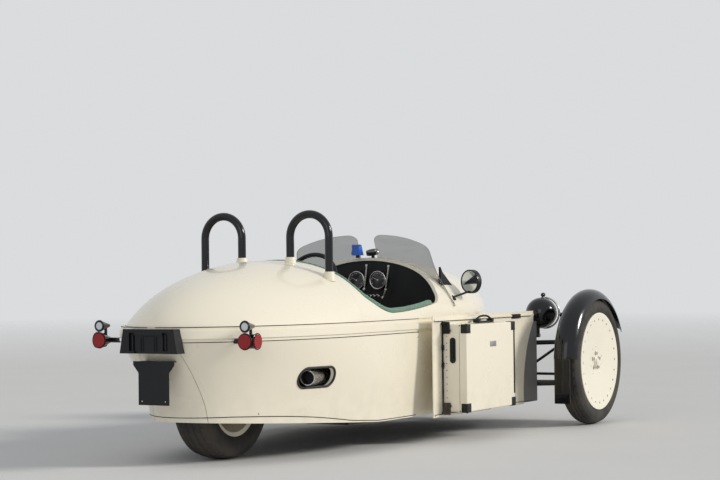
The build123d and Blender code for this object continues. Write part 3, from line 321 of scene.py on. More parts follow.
def add_tube(builder, points, radius, sides=10, closed=False, taper=None):
    """A round tube along points, with flat ends. A taper gives each point its own radius."""
    points = [Vector(p) for p in points]
    count = len(points)
    turns = [2 * pi * k / sides for k in range(sides)]
    rings = []
    side = None
    for i, point in enumerate(points):
        ahead = points[(i + 1) % count] if closed or i + 1 < count else point
        behind = points[i - 1] if closed or i > 0 else point
        along = (ahead - behind).normalized()
        if side is None:
            side = along.orthogonal().normalized()
        side = (side - along * side.dot(along)).normalized()
        up = along.cross(side)
        r = taper[i] if taper else radius
        rings.append([builder.verts.new(point + (side * cos(a) + up * sin(a)) * r) for a in turns])
    for a, b in list(zip(rings, rings[1:])) + ([(rings[-1], rings[0])] if closed else []):
        for k in range(sides):
            builder.faces.new((a[k], a[(k + 1) % sides], b[(k + 1) % sides], b[k]))
    if not closed:
        builder.faces.new(rings[0][::-1])
        builder.faces.new(rings[-1])


def add_ring(builder, at, radius, height, count, thick, sides=8):
    """A closed round ring about local Z, at a height along it."""
    turns = [2 * pi * k / count for k in range(count)]
    points = [at @ Vector((radius * cos(a), radius * sin(a), height)) for a in turns]
    add_tube(builder, points, thick, sides, closed=True)


def add_slab(builder, outline, matrix, thick):
    """A flat plate from a local XY outline, raised along local Z."""
    low = [builder.verts.new(matrix @ Vector((x, y, 0))) for x, y in outline]
    raised = bmesh.ops.extrude_face_region(builder, geom=[builder.faces.new(low)])
    lift = (matrix.to_3x3() @ Vector((0, 0, 1))).normalized() * thick
    for v in raised["geom"]:
        if isinstance(v, bmesh.types.BMVert):
            v.co += lift


def dome_profile(radius, height, steps=4, foot=0.0):
    """A low domed head, with a short straight foot."""
    rows = [(radius, -foot)] if foot else []
    rows += [(radius * cos(pi / 2 * i / steps), height * sin(pi / 2 * i / steps)) for i in range(steps)]
    return rows + [(0, height)]


def add_dome(builder, at, direction, radius, height, steps, foot, turns):
    add_lathe(builder, dome_profile(radius, height, steps, foot), turned_to(at, direction), turns)


def add_rivet(builder, centre, normal, radius, height):
    add_dome(builder, centre, normal, radius, height, 3, 0.001, 12)


def add_bolt(builder, centre, normal, across, height):
    """A hexagon head on a washer, with a small chamfer."""
    at = turned_to(centre, normal)
    r = across / 2
    washer = [(0, -0.001), (r * 1.45, -0.001), (r * 1.45, 0.0012), (0, 0.0012)]
    head = [(r * 1.08, 0.001), (r * 1.08, height * 0.85), (r * 0.92, height), (0, height)]
    add_lathe(builder, washer, at, 20)
    add_lathe(builder, head, at, 6)


def add_screw(builder, centre, normal, radius, height):
    """A pan head with a round recess."""
    add_lathe(builder, [(radius, -0.001), (radius, height * 0.4), (radius * 0.82, height * 0.85),
                        (radius * 0.5, height), (radius * 0.42, height * 0.45), (0, height * 0.4)],
              turned_to(centre, normal), 16)


def tree_of(*names):
    """A ray tree over CAD nodes, for setting small pieces on their surfaces."""
    verts, faces = [], []
    for name in names:
        mesh = NODES[name].data
        base = len(verts)
        verts += [v.co.copy() for v in mesh.vertices]
        faces += [[base + i for i in f.vertices] for f in mesh.polygons]
    return BVHTree.FromPolygons(verts, faces)


def on_surface(tree, start, direction):
    """Where a ray first meets a surface, and the normal that faces the ray. Both are None on a miss."""
    aim = Vector(direction).normalized()
    point, normal, _, _ = tree.ray_cast(Vector(start), aim)
    if point is None:
        return None, None
    return point, (-normal if normal.dot(aim) > 0 else normal)


def arc_through(a, b, c, count):
    """Points on the circle through three points, from the first to the last."""
    (ax, ay), (bx, by), (cx, cy) = a, b, c
    d = 2 * (ax * (by - cy) + bx * (cy - ay) + cx * (ay - by))
    aa, bb, cc = ax * ax + ay * ay, bx * bx + by * by, cx * cx + cy * cy
    ux = (aa * (by - cy) + bb * (cy - ay) + cc * (ay - by)) / d
    uy = (aa * (cx - bx) + bb * (ax - cx) + cc * (bx - ax)) / d
    r = sqrt((ax - ux) ** 2 + (ay - uy) ** 2)
    start, mid, end = (atan2(y - uy, x - ux) for x, y in (a, b, c))
    mid -= 2 * pi * round((mid - start) / (2 * pi))
    end -= 2 * pi * round((end - mid) / (2 * pi))
    turns = [start + (end - start) * i / count for i in range(count + 1)]
    return [(ux + r * cos(t), uy + r * sin(t)) for t in turns]


# Tyres, with grooves round the tread and cuts across it

GROOVES_AT = (-9, -3, 3, 9)
GROOVE_DEEP, SHOULDER_DEEP, SIPE_DEEP = 6.0, 4.5, 3.0
WALL_LINES, WALL_LINE_DEEP = (3, 11), 1.2
FLANGE_IN = 20.0


def tyre_piece(name, node, body, radius, width, bead, steps, pitch):
    """A tyre turned from its section in millimetres, with a cut across it at every pitch steps."""
    half = width / 2
    foot = [(bead + 0.3, -half + FLANGE_IN), (bead + 0.3, half - FLANGE_IN)]
    wall = arc_through((bead + 16, half - 10), (radius - 45, half), (radius - 14, half - 16), 14)
    for i in WALL_LINES:
        wall[i] = (wall[i][0], wall[i][1] - WALL_LINE_DEEP)
    crown = arc_through((radius - 14, half - 16), (radius, 0), (radius - 14, -half + 16), 30)
    profile = foot + wall + crown[1:-1] + [(r, -y) for r, y in reversed(wall)]
    first = len(foot) + len(wall)
    last = first + len(crown) - 2
    middle = (first + last - 1) / 2
    low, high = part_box(node)
    centre = (low + high) / 2
    builder = bmesh.new()
    rings = []
    for s in range(steps):
        ring = []
        for i, (r, y) in enumerate(profile):
            if first <= i < last:
                off = i - middle
                if off in GROOVES_AT:
                    r -= GROOVE_DEEP
                elif abs(off) > 9:
                    r -= SHOULDER_DEEP if (s + (1 if off > 0 else 0)) % pitch == 0 else 0
                elif abs(off) > 3:
                    r -= SIPE_DEEP if (s + int(off)) % pitch == 0 else 0
            a = 2 * pi * s / steps
            ring.append(builder.verts.new(centre + Vector((r * cos(a), y, r * sin(a))) / 1000))
        rings.append(ring)
    count = len(profile)
    for a, b in zip(rings, rings[1:] + rings[:1]):
        for i in range(count):
            j = (i + 1) % count
            builder.faces.new((a[i], a[j], b[j], b[i]))
    made = finish_piece(name, builder, body, "tyre_black", smooth=32)
    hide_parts(node)


for side, _ in SIDES:
    tyre_piece(f"tread_tyre_{side}", f"front_tyre_{side}", f"front_{side}_wheel",
               FRONT_TYRE_R, 128.0, 262.0, 240, 5)
tyre_piece("tread_tyre_rear", "rear_tyre", "rear_wheel", REAR_TYRE_R, 195.0, 190.0, 200, 4)


# Padded pieces: seats and the woven roll on the cockpit's edge

CLOTH_FRAMES = 20
CLOTH_PRESSURE = 4.0


def loose_parts(mesh):
    """The mesh's separate shells, each as a bmesh."""
    whole = bmesh.new()
    whole.from_mesh(mesh)
    bmesh.ops.remove_doubles(whole, verts=whole.verts, dist=1e-6)
    left = set(whole.verts)
    shells = []
    while left:
        stack, found = [left.pop()], set()
        while stack:
            v = stack.pop()
            found.add(v.index)
            beside = {e.other_vert(v) for e in v.link_edges} & left
            left -= beside
            stack += beside
        shells.append(found)
    parts = []
    for keep in sorted(shells, key=min):
        part = whole.copy()
        part.verts.ensure_lookup_table()
        bmesh.ops.delete(part, geom=[v for v in part.verts if v.index not in keep], context="VERTS")
        parts.append(part)
    whole.free()
    return parts


def push_along_normals(mesh, amount_of):
    """Moves each point along its own normal by amount_of(point). All normals are read before any move."""
    normals = [v.normal.copy() for v in mesh.vertices]
    for v, normal in zip(mesh.vertices, normals):
        amount = amount_of(v.co)
        if amount:
            v.co = v.co + normal * amount


def blow_up(made, cap):
    """Runs the cloth with pressure inside, and applies it with no point moved past the cap."""
    mesh = made.data
    rest = [v.co.copy() for v in mesh.vertices]
    cloth = made.modifiers.new("cloth", "CLOTH")
    cloth.settings.use_pressure = True
    cloth.settings.uniform_pressure_force = CLOTH_PRESSURE
    cloth.settings.effector_weights.gravity = 0
    cloth.settings.quality = 4
    cloth.settings.mass = 0.3
    cloth.point_cache.frame_start = 1
    cloth.point_cache.frame_end = CLOTH_FRAMES
    for step in range(1, CLOTH_FRAMES + 1):
        bpy.context.scene.frame_set(step)
    view = bpy.context.evaluated_depsgraph_get()
    blown = made.evaluated_get(view)
    moved = [v.co.copy() for v in blown.to_mesh().vertices]
    blown.to_mesh_clear()
    made.modifiers.clear()
    bpy.context.scene.frame_set(1)
    for v, a, b in zip(mesh.vertices, rest, moved):
        shift = b - a
        v.co = a + (shift if shift.length < cap else shift.normalized() * cap)


def applied(made):
    """A mesh of the piece with its modifiers, which are then taken off."""
    view = bpy.context.evaluated_depsgraph_get()
    mesh = bpy.data.meshes.new_from_object(made.evaluated_get(view))
    made.modifiers.clear()
    made.data = mesh


def puffed(name, builder, body, finish, voxel, inset, cap):
    """A padded piece by cloth simulation from its CAD solid: shrunk a little, blown up, and capped."""
    mesh = bpy.data.meshes.new(name)
    builder.to_mesh(mesh)
    builder.free()
    made = bpy.data.objects.new(name, mesh)
    bpy.context.scene.collection.objects.link(made)
    bpy.context.view_layer.objects.active = made
    remesh = made.modifiers.new("even", "REMESH")
    remesh.mode = "VOXEL"
    remesh.voxel_size = voxel
    relax = made.modifiers.new("relax", "SMOOTH")
    relax.iterations = 4
    relax.factor = 0.6
    applied(made)
    push_along_normals(made.data, lambda co: -inset)
    blow_up(made, cap)
    fine = made.modifiers.new("fine", "SUBSURF")
    fine.levels = fine.render_levels = 1
    applied(made)
    made.data.materials.clear()
    made.data.materials.append(FINISH[finish])
    made.data.shade_smooth()
    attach(made, body)
    return made


def groove(mesh, offset_of, depth, width):
    """Presses a narrow trough into a mesh wherever offset_of(point) passes zero."""
    def press(co):
        off = abs(offset_of(co))
        return -depth * (1 + cos(pi * off / width)) / 2 if off < width else 0.0
    push_along_normals(mesh, press)


PLEAT = 0.052
for kind, fill in (("seat_cushions", 0.6), ("seat_backs", 0.55)):
    for part in loose_parts(NODES[kind].data):
        side = "left" if sum(v.co.y for v in part.verts) > 0 else "right"
        seat = puffed(f"{kind}_{side}", part, "chassis", "seat_black", 0.006, 0.006, 0.009)
        mid = sum(v.co.y for v in seat.data.vertices) / len(seat.data.vertices)

        def pleats(p, mid=mid):
            across = (p.y - mid + PLEAT / 2) / PLEAT
            near = abs(across - round(across)) * PLEAT
            return near if abs(p.y - mid) < PLEAT * 2.7 else 1.0
        groove(seat.data, pleats, 0.005, 0.008)
        for edge in (-1, 1):
            groove(seat.data, lambda p, edge=edge: p.y - mid - edge * PLEAT * 2.9, 0.006, 0.007)
        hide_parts(kind)

ROLL_STITCH = 0.034
roll_form = bmesh.new()
roll_form.from_mesh(NODES["cockpit_trim"].data)
roll = puffed("edge_roll", roll_form, "chassis", "trim_green", 0.005, 0.001, 0.003)
groove(roll.data, lambda p: (p.x / ROLL_STITCH - round(p.x / ROLL_STITCH)) * ROLL_STITCH, 0.0012, 0.005)
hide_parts("cockpit_trim")


# Lines and beads that follow the body: black beads along the rails, the blades and the tub's lower edge,
# partly painted shade where the edges throw thin shadow lines

DECK_X = 432
BEAD_FRONT_X = 1030
BEAD_STEP = 14
BLADE_OUT_Y = 605.2


def tub_edge_z(x):
    """The tub's lower edge, in millimetres, which rises towards the tail."""
    return 137.0 + 75.0 * min(max((650.0 - x) / 1075.0, 0.0), 1.0)


def round_body(tree, z_of):
    """Points on the body's surface at a height, from the right side round the tail to the left."""
    rays = [(place(x, -FAR, z_of(x)), Vector((0, 1, 0))) for x in range(BEAD_FRONT_X, DECK_X, -BEAD_STEP)]
    for turn in range(0, 181, 2):
        a = radians(turn)
        back = Vector((-sin(a), -cos(a), 0))
        start = place(DECK_X, 0, 0) + back * 1.25
        start.z = z_of(max(DECK_X - FAR * sin(a), -560)) / 1000
        rays.append((start, -back))
    rays += [(place(x, FAR, z_of(x)), Vector((0, -1, 0)))
             for x in range(DECK_X + BEAD_STEP, BEAD_FRONT_X + 1, BEAD_STEP)]
    points = []
    for start, aim in rays:
        point, _ = on_surface(tree, start, aim)
        if point is not None and (not points or (point - points[-1]).length < 0.25):
            points.append(point)
    return points


tub_tree = tree_of("side_panel_left", "side_panel_right", "tail_panel")
rail_tree = tree_of("belt_rails")
# Partly painted shade: these black beads sit on the shut lines and also on the thin shadow lines under the
# rail edges.
shut_and_shadow_lines = bmesh.new()
for tree, z_of, radius in ((rail_tree, lambda x: 640.2, 0.0019), (rail_tree, lambda x: 572.0, 0.0019),
                           (tub_tree, lambda x: tub_edge_z(x) + 11, 0.0021)):
    add_tube(shut_and_shadow_lines, round_body(tree, z_of), radius, 6)
for side, s in SIDES:
    for z in (624.5, 146.5):
        add_tube(shut_and_shadow_lines, [place(x, BLADE_OUT_Y * s, z) for x in range(1052, 2296, 60)], 0.0018, 6)
finish_piece("body_beads", shut_and_shadow_lines, "chassis", "rubber")

# Small screws at the ends of the side panels and on the plate bracket
bracket_tree = tree_of("plate_bracket")
screws = bmesh.new()
for side, s in SIDES:
    spots = [(tub_tree, place(x, FAR * s, z), (0, -s, 0), 0.0045)
             for x, z in ((-262, 552), (-150, 232), (1012, 548), (1012, 172))]
    spots.append((bracket_tree, place(-FAR, 64 * s, 307), (1, 0, 0), 0.003))
    for tree, start, aim, radius in spots:
        point, normal = on_surface(tree, start, aim)
        if point is not None:
            add_screw(screws, point, normal, radius, 0.0014)
finish_piece("body_screws", screws, "chassis", "steel")

# The exhaust slot's black edge, and the bore of the pipe in it
SLOT_X, SLOT_Z = 131.0, 388.0
SLOT_HALF_LEN, SLOT_R = 113.0 - 44.0, 44.0 + 3.0
ring = []
for turn in range(0, 360, 6):
    a = radians(turn)
    shift = SLOT_HALF_LEN if cos(a) > 1e-6 else -SLOT_HALF_LEN if cos(a) < -1e-6 else 0
    start = place(SLOT_X + SLOT_R * cos(a) + shift, -FAR, SLOT_Z + SLOT_R * sin(a))
    point, _ = on_surface(tub_tree, start, (0, 1, 0))
    if point is not None:
        ring.append(point)
slot_edge = bmesh.new()
add_tube(slot_edge, ring, 0.006, 8, closed=True)
finish_piece("exhaust_slot_edge", slot_edge, "chassis", "rubber")
mouth, elbow = place(68, -437, SLOT_Z), place(274, -395, SLOT_Z)
bore = bmesh.new()
add_lathe(bore, [(0.0315, -0.002), (0.0312, -0.052), (0.0, -0.052)], turned_to(mouth, mouth - elbow), 36)
finish_piece("exhaust_bore", bore, "chassis", "rubber")

# Tail pad: upright ribs in its recesses, a moulded frame in the middle, and small teeth above it
pad_tree = tree_of("tail_pad")
ribs = bmesh.new()
for out, low_z, high_z, wide, proud in ((91, 538, 606, 9, 8.0), (42, 534, 596, 3, 1.0),
                                        (30, 534, 596, 2, 1.0)):
    for y in (out, -out):
        ends = [on_surface(pad_tree, place(-FAR, y, z), (1, 0, 0))[0] for z in (low_z, high_z)]
        if None not in ends:
            lean = ends[1] - ends[0]
            at = turned_to((ends[0] + ends[1]) / 2 + Vector((0.002 - proud / 2000, 0, 0)), lean)
            deep = (proud + 4) / 1000
            section = (wide / 1000, deep) if abs(at.col[0].y) > 0.7 else (deep, wide / 1000)
            add_box(ribs, at, (*section, lean.length), 0.0014)
for k in range(-5, 6):
    point, _ = on_surface(pad_tree, place(-FAR, k * 7.4, 603), (1, 0, 0))
    if point is not None:
        add_box(ribs, Matrix.Translation(point + Vector((0.001, 0, 0))), (0.0038, 0.0034, 0.009), 0.0008)
finish_piece("tail_pad_ribs", ribs, "chassis", "trim_black")


# Side cases: rivets, latch, corner guards, clamps, handle and stays

CASE_BACK_X, CASE_FRONT_X = 1150, 1740
CASE_LOW_Z, CASE_TOP_Z = 158, 606
CASE_OUT_Y = 738
BACKWARD = (-1, 0, 0)


def add_guard(builder, x, y, z, sx, sy, sz, with_end):
    """A black corner guard: a plate on the outer face, one above or below, and one on the end."""
    add_block(builder, (x + sx * 21, y + sy * 1.0, z + sz * 21), (0.046, 0.003, 0.046), 0.001)
    add_block(builder, (x + sx * 21, y - sy * 14, z - sz * 1.0), (0.046, 0.032, 0.003), 0.001)
    for dx, dz in ((30, 30), (12, 34)):
        add_rivet(builder, place(x + sx * dx, y + sy * 2.5, z + sz * dz), (0, sy, 0), 0.0035, 0.0016)
    if with_end:
        add_block(builder, (x - sx * 1.0, y - sy * 15, z + sz * 21), (0.003, 0.034, 0.046), 0.001)
        add_dome(builder, place(x + 1, y - sy * 1, z + sz * 1), (-1, sy, -sz), 0.0075, 0.006, 4, 0.0, 12)


def case_rivets(side, s):
    rivets = bmesh.new()
    for k in range(12):
        add_rivet(rivets, place(CASE_BACK_X, 624 * s, 196 + 35 * k), BACKWARD, 0.0036, 0.0018)
    for x in range(CASE_BACK_X + 40, 1720, 44):
        add_rivet(rivets, place(x, 624 * s, CASE_TOP_Z), (0, 0, 1), 0.0036, 0.0018)
    finish_piece(f"case_rivets_{side}", rivets, "chassis", "cast_metal")


def add_latch(builder, s):
    """The oval latch on the case's rear face."""
    oval = [(0.0155 * cos(radians(t)), 0.0155 * sin(radians(t)) + (0.05 if 0 < t < 180 else -0.05))
            for t in range(-180, 180, 12)]
    add_slab(builder, oval, turned_to(place(1150.5, 660 * s, 474), BACKWARD), 0.006)
    add_block(builder, (1142.5, 660 * s, 478), (0.006, 0.013, 0.088), 0.0028, 3)
    add_dome(builder, place(1139.5, 660 * s, 444), BACKWARD, 0.0085, 0.0035, 4, 0.003, 18)
    add_dome(builder, place(1143.5, 660 * s, 531), BACKWARD, 0.004, 0.002, 3, 0.003, 12)


def add_clamps_and_gap_shadow(builder, s):
    """The clamps that hold the case to its blade, and between them a black strip that is painted shadow,
    standing for the shade in the gap between case and blade.
    """
    for z, up in ((CASE_TOP_Z, 1), (CASE_LOW_Z, -1)):
        add_block(builder, (1146, 622 * s, z - up * 16), (0.010, 0.044, 0.062), 0.003)
        add_block(builder, (1150, 612 * s, z + up * 5), (0.040, 0.022, 0.012), 0.003)
        add_bolt(builder, place(1141, 622 * s, z - up * 6), BACKWARD, 0.012, 0.007)
        add_dome(builder, place(1142, 640 * s, z - up * 30), BACKWARD, 0.010, 0.012, 5, 0.004, 16)
    # Painted shadow: a black strip down the blade's rear edge, where the gap between case and blade lies in
    # shade.
    add_block(builder, (1144, 604 * s, 382), (0.009, 0.006, 0.400), 0.002)
    for z in (398, 488):
        add_block(builder, (1143, 606 * s, z), (0.016, 0.010, 0.027), 0.002)


def add_handle(builder, s):
    """The carrying handle on top of the case."""
    add_block(builder, (1560, 640 * s, 611), (0.190, 0.030, 0.009), 0.003)
    for x in (1478, 1642):
        add_block(builder, (x, 640 * s, 617), (0.026, 0.034, 0.020), 0.004)
        add_bolt(builder, place(x, 640 * s, 626), (0, 0, 1), 0.011, 0.006)
    grip = ((1478, 622), (1492, 634), (1520, 641), (1560, 643), (1600, 641), (1628, 634), (1642, 622))
    add_tube(builder, [place(x, 640 * s, z) for x, z in grip], 0.0055, 12)


def add_stays(builder, s):
    """The plate on the blade ahead of the case, and the brackets and stay under it."""
    add_block(builder, (2058, 604 * s, 627), (0.110, 0.008, 0.024), 0.002)
    for x in (2022, 2094):
        add_screw(builder, place(x, 607.6 * s, 627), (0, s, 0), 0.004, 0.002)
    for x in (1300, 1560):
        add_block(builder, (x, 650 * s, 154.5), (0.034, 0.080, 0.007), 0.002)
        add_bolt(builder, place(x, 672 * s, 151.5), (0, 0, -1), 0.012, 0.006)
    stay = ((1285, 616, 152), (1420, 640, 147), (1560, 668, 150))
    add_tube(builder, [place(x, y * s, z) for x, y, z in stay], 0.0045, 10)


def case_lid_trim(side, s):
    """Corner guards, hinge strip and a bare plate, which swing with the lid."""
    guards = bmesh.new()
    for x, sx in ((CASE_BACK_X, 1), (CASE_FRONT_X, -1)):
        for z, sz in ((CASE_LOW_Z, 1), (CASE_TOP_Z, -1)):
            add_guard(guards, x, CASE_OUT_Y * s, z, sx, s, sz, x == CASE_BACK_X)
    finish_piece(f"case_guards_{side}", guards, f"{side}_case_door", "trim_black")
    strip = bmesh.new()
    add_block(strip, (1731, 738.6 * s, 398), (0.015, 0.0026, 0.350), 0.001)
    for z in range(240, 580, 62):
        add_rivet(strip, place(1731, 740 * s, z), (0, s, 0), 0.0026, 0.0012)
    finish_piece(f"case_hinge_strip_{side}", strip, f"{side}_case_door", "trim_black")
    plate = bmesh.new()
    add_block(plate, (1467, 738.6 * s, 498), (0.074, 0.0022, 0.028), 0.0008)
    finish_piece(f"case_plate_{side}", plate, f"{side}_case_door", "cast_metal")


def case_seal(side, s):
    """A dark line round the case, where shell and lid meet."""
    back, front, low, top = CASE_BACK_X + 2, CASE_FRONT_X - 3, CASE_LOW_Z + 2, CASE_TOP_Z - 2
    corners = [(back, low), (front, low), (front, top), (back, top)]
    path = []
    for (x0, z0), (x1, z1) in zip(corners, corners[1:] + corners[:1]):
        path += [place(x0 + (x1 - x0) * k / 12, 696.6 * s, z0 + (z1 - z0) * k / 12) for k in range(12)]
    seal = bmesh.new()
    add_tube(seal, path, 0.0024, 6, closed=True)
    finish_piece(f"case_seal_{side}", seal, "chassis", "rubber")


for side, s in SIDES:
    case_rivets(side, s)
    parts_and_gap_shadow = bmesh.new()
    add_latch(parts_and_gap_shadow, s)
    add_clamps_and_gap_shadow(parts_and_gap_shadow, s)
    add_handle(parts_and_gap_shadow, s)
    add_stays(parts_and_gap_shadow, s)
    finish_piece(f"case_parts_and_gap_shadow_{side}", parts_and_gap_shadow, "chassis", "chassis_black")
    case_lid_trim(side, s)
    case_seal(side, s)


# Wheels: nuts, caps, valves and brake discs

NUTS = 5
RAY_START = 0.4
VALVE_TURN, VALVE_REACH = 2.1, 0.24
DISC_Y, DISC_HOLES = 798, 30


def spoke(a):
    """A unit vector in the plane of a wheel."""
    return Vector((cos(a), 0, sin(a)))


def hub_details(name, body, tree, centre, out, nut_circle):
    """Wheel nuts on a circle, and a wider circle of rivets, on the side that out points to."""
    builder = bmesh.new()
    nuts = [(2 * pi * k / NUTS + 0.3, nut_circle, 0.8, add_bolt, 0.017, 0.012) for k in range(NUTS)]
    rivets = [(2 * pi * (k + 0.5) / (NUTS * 2), nut_circle * 1.9, 0.6, add_rivet, 0.0042, 0.002)
              for k in range(NUTS * 2)]
    for a, reach, least, add, size, height in nuts + rivets:
        start = centre + spoke(a) * reach + Vector((0, out * RAY_START, 0))
        point, normal = on_surface(tree, start, (0, -out, 0))
        if point is not None and abs(normal.y) > least:
            add(builder, point, normal, size, height)
    finish_piece(name, builder, body, "steel")


def hub_cap(name, body, tree, centre, out, radius, height):
    """A turned cap that stands on the hub, which a ray near the cap's edge finds."""
    point, _ = on_surface(tree, centre + Vector((radius * 0.8, out * RAY_START, 0)), (0, -out, 0))
    section = [(1, -0.001 / height), (1, 0.3), (0.9, 0.42), (0.72, 0.5),
               (0.66, 0.86), (0.5, 1), (0.2, 0.94), (0, 0.92)]
    builder = bmesh.new()
    add_lathe(builder, [(radius * r, height * h) for r, h in section],
              turned_to(Vector((centre.x, point.y, centre.z)), (0, out, 0)), 36)
    finish_piece(name, builder, body, "wheel_cream")


def brake_disc(side, s, tree, wheel):
    """A drilled disc inside the wheel, and the tyre's valve."""
    disc = bmesh.new()
    section = [(0.062, 0.0), (0.138, 0.0), (0.140, 0.001), (0.140, 0.005), (0.138, 0.006), (0.062, 0.006)]
    middle = place(WHEELBASE, DISC_Y * s, FRONT_TYRE_R)
    add_lathe(disc, section, turned_to(middle, (0, s, 0)), 60, closed=True)
    for k in range(DISC_HOLES):
        hole = spoke(2 * pi * k / DISC_HOLES) * (0.088 + 0.014 * (k % 3)) - Vector((0, 0.0002 * s, 0))
        add_rivet(disc, middle + hole, (0, -s, 0), 0.0035, 0.0004)
    start = wheel + spoke(VALVE_TURN) * VALVE_REACH + Vector((0, 0.3 * s, 0))
    point, normal = on_surface(tree, start, (0, -s, 0))
    if point is not None:
        add_tube(disc, [point - normal * 0.002, point + normal * 0.014], 0.0028, 10)
    finish_piece(f"brake_disc_{side}", disc, f"front_{side}_wheel", "steel")


for side, s in SIDES:
    wheel = place(WHEELBASE, FRONT_Y * s, FRONT_TYRE_R)
    rim_tree = tree_of(f"front_rim_{side}")
    hub_details(f"hub_nuts_{side}", f"front_{side}_wheel", rim_tree, wheel, s, 0.044)
    hub_cap(f"hub_cap_{side}", f"front_{side}_wheel", rim_tree, wheel, s, 0.026, 0.017)
    brake_disc(side, s, rim_tree, wheel)
rear_tree = tree_of("rear_rim")
for side, s in SIDES:
    hub_details(f"rear_nuts_{side}", "rear_wheel", rear_tree, place(0, 0, REAR_TYRE_R), s, 0.045)


# Lamps, mirrors and the things on the scuttle

LAMP_Y, BEZEL_R = 556, 0.0885
TAIL_Y, TAIL_LOW_Z, TAIL_HIGH_Z = 404.5, 575, 642


def facing_part(node, aim, s):
    """Centre, normal and radius of a node's largest flat that looks in a direction, on one side."""
    best = {}
    for face in NODES[node].data.polygons:
        if face.center.y * s > 0 and face.normal.dot(aim) >= 0.85:
            best.setdefault(tuple(round(c, 2) for c in face.normal), []).append(face)
    faces = max(best.values(), key=lambda rows: sum(f.area for f in rows))
    area = sum(f.area for f in faces)
    centre = sum((f.center * f.area for f in faces), Vector()) / area
    return centre, faces[0].normal.copy(), sqrt(area / pi)


def door_mirror(side, s):
    centre, normal, radius = facing_part("door_mirrors", Vector((-1, 0, 0)), s)
    at = turned_to(centre, normal)
    section = [(0.9, -0.001), (0.9, 0.0012), (0.6, 0.0022), (0.3, 0.0028), (0, 0.003)]
    glass = bmesh.new()
    add_lathe(glass, [(radius * r, height) for r, height in section], at, 40)
    finish_piece(f"mirror_face_{side}", glass, "chassis", "mirror_glass")
    rim = bmesh.new()
    add_ring(rim, at, radius * 0.95, 0.001, 40, 0.0038)
    finish_piece(f"mirror_rim_{side}", rim, "chassis", "gloss_black")


def headlamp_trim(side, s):
    bezel = bmesh.new()
    lamp_at = turned_to(place(2575, LAMP_Y * s, 634), (1, 0, 0))
    add_ring(bezel, lamp_at, BEZEL_R, -0.004, 48, 0.0055, 10)
    for a in (0.5, pi - 0.5, -pi / 2):
        spot = lamp_at @ Vector((BEZEL_R * cos(a), BEZEL_R * sin(a), 0.0012))
        add_screw(bezel, spot, (1, 0, 0), 0.0035, 0.0018)
    finish_piece(f"lamp_bezel_{side}", bezel, "chassis", "steel")
    marker = bmesh.new()
    add_tube(marker, [place(2530, LAMP_Y * s, 716), place(2538, LAMP_Y * s, 732)], 0.0055, 12)
    section = [(0, -0.014), (0.006, -0.013), (0.011, -0.006), (0.0125, 0.006), (0.0125, 0.012),
               (0.011, 0.0135), (0, 0.0135)]
    add_lathe(marker, section, turned_to(place(2540, LAMP_Y * s, 740), (1, 0, 0)), 20)
    finish_piece(f"lamp_marker_{side}", marker, "chassis", "gloss_black")
    lens = bmesh.new()
    add_dome(lens, place(2553.5, LAMP_Y * s, 740), (1, 0, 0), 0.0105, 0.005, 4, 0.001, 18)
    finish_piece(f"marker_lens_{side}", lens, "chassis", "clear_lens")


for side, s in SIDES:
    door_mirror(side, s)
    headlamp_trim(side, s)

bezels = bmesh.new()
lens_tree = tree_of("tail_lenses")
for side, s in SIDES:
    for start, aim, radius, thick in ((place(-FAR, TAIL_Y * s, TAIL_LOW_Z), (1, 0, 0), 0.0362, 0.0024),
                                      (place(-FAR, TAIL_Y * s, TAIL_HIGH_Z), (1, 0, 0), 0.0225, 0.0055),
                                      (place(-378, FAR * s, TAIL_LOW_Z), (0, -s, 0), 0.0362, 0.0024)):
        point, normal = on_surface(lens_tree, start, aim)
        if point is not None:
            add_ring(bezels, turned_to(point - normal * (0.0076 - thick), normal), radius, 0, 36, thick)
finish_piece("tail_lamp_bezels", bezels, "chassis", "gloss_black")

pod = bmesh.new()
low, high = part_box("centre_mirror")
pod_face = Vector(((low.x + high.x) / 2, low.y + 0.006, high.z - 0.017))
add_dome(pod, pod_face, (-0.4, -0.8, 0.4), 0.014, 0.008, 5, 0.006, 24)
finish_piece("mirror_pod_cap", pod, "chassis", "steel")

clamp = bmesh.new()
low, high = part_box("accessory_clamp")
middle = (low + high) / 2
knob = [(0, -0.010), (0.009, -0.010), (0.0125, -0.006), (0.0125, 0.004), (0.009, 0.008), (0, 0.008)]
add_lathe(clamp, knob, turned_to(Vector((middle.x - 0.004, high.y + 0.004, low.z + 0.012)), (0.2, 1, 0)), 8)
foot, pin = Vector((middle.x, middle.y, low.z)), Vector((middle.x, low.y, high.z))
add_tube(clamp, [foot - Vector((0, 0, 0.014)), foot + Vector((0, 0, 0.004))], 0.011, 16)
add_tube(clamp, [pin + Vector((-0.006, 0.006, -0.004)), pin + Vector((-0.022, 0.004, -0.006))], 0.006, 12)
finish_piece("clamp_knob", clamp, "chassis", "rubber")


# Dashboard: dials, switches and the two stays

DASH_RAY_X = 1200
DIAL_R, TICK_R = 0.045, 0.041
NEEDLE_TURN = radians(64)
dash_tree = tree_of("dashboard")
faces, marks, rims = bmesh.new(), bmesh.new(), bmesh.new()
for y in (66, -66):
    point, normal = on_surface(dash_tree, place(DASH_RAY_X, y, 838), (1, 0, 0))
    if point is None:
        continue
    at = turned_to(point, normal)
    add_lathe(faces, [(DIAL_R, -0.001), (DIAL_R, 0.0012), (0, 0.0012)], at, 40)
    for k in range(25):
        long, wide = (0.008, 0.0016) if k % 4 == 0 else (0.0045, 0.0009)
        out = Matrix.Translation((0, TICK_R - long / 2, 0.0016))
        add_box(marks, at @ Matrix.Rotation(radians(10 * k - 120), 4, "Z") @ out, (wide, long, 0.0008), 0)
    out = Matrix.Translation((0, 0.015, 0.003))
    add_box(marks, at @ Matrix.Rotation(NEEDLE_TURN, 4, "Z") @ out, (0.0016, 0.038, 0.0012), 0.0004)
    add_lathe(marks, dome_profile(0.0045, 0.003, 3, 0.001), at @ Matrix.Translation((0, 0, 0.0028)), 14)
    add_ring(rims, at, 0.0475, 0.0015, 40, 0.0032)
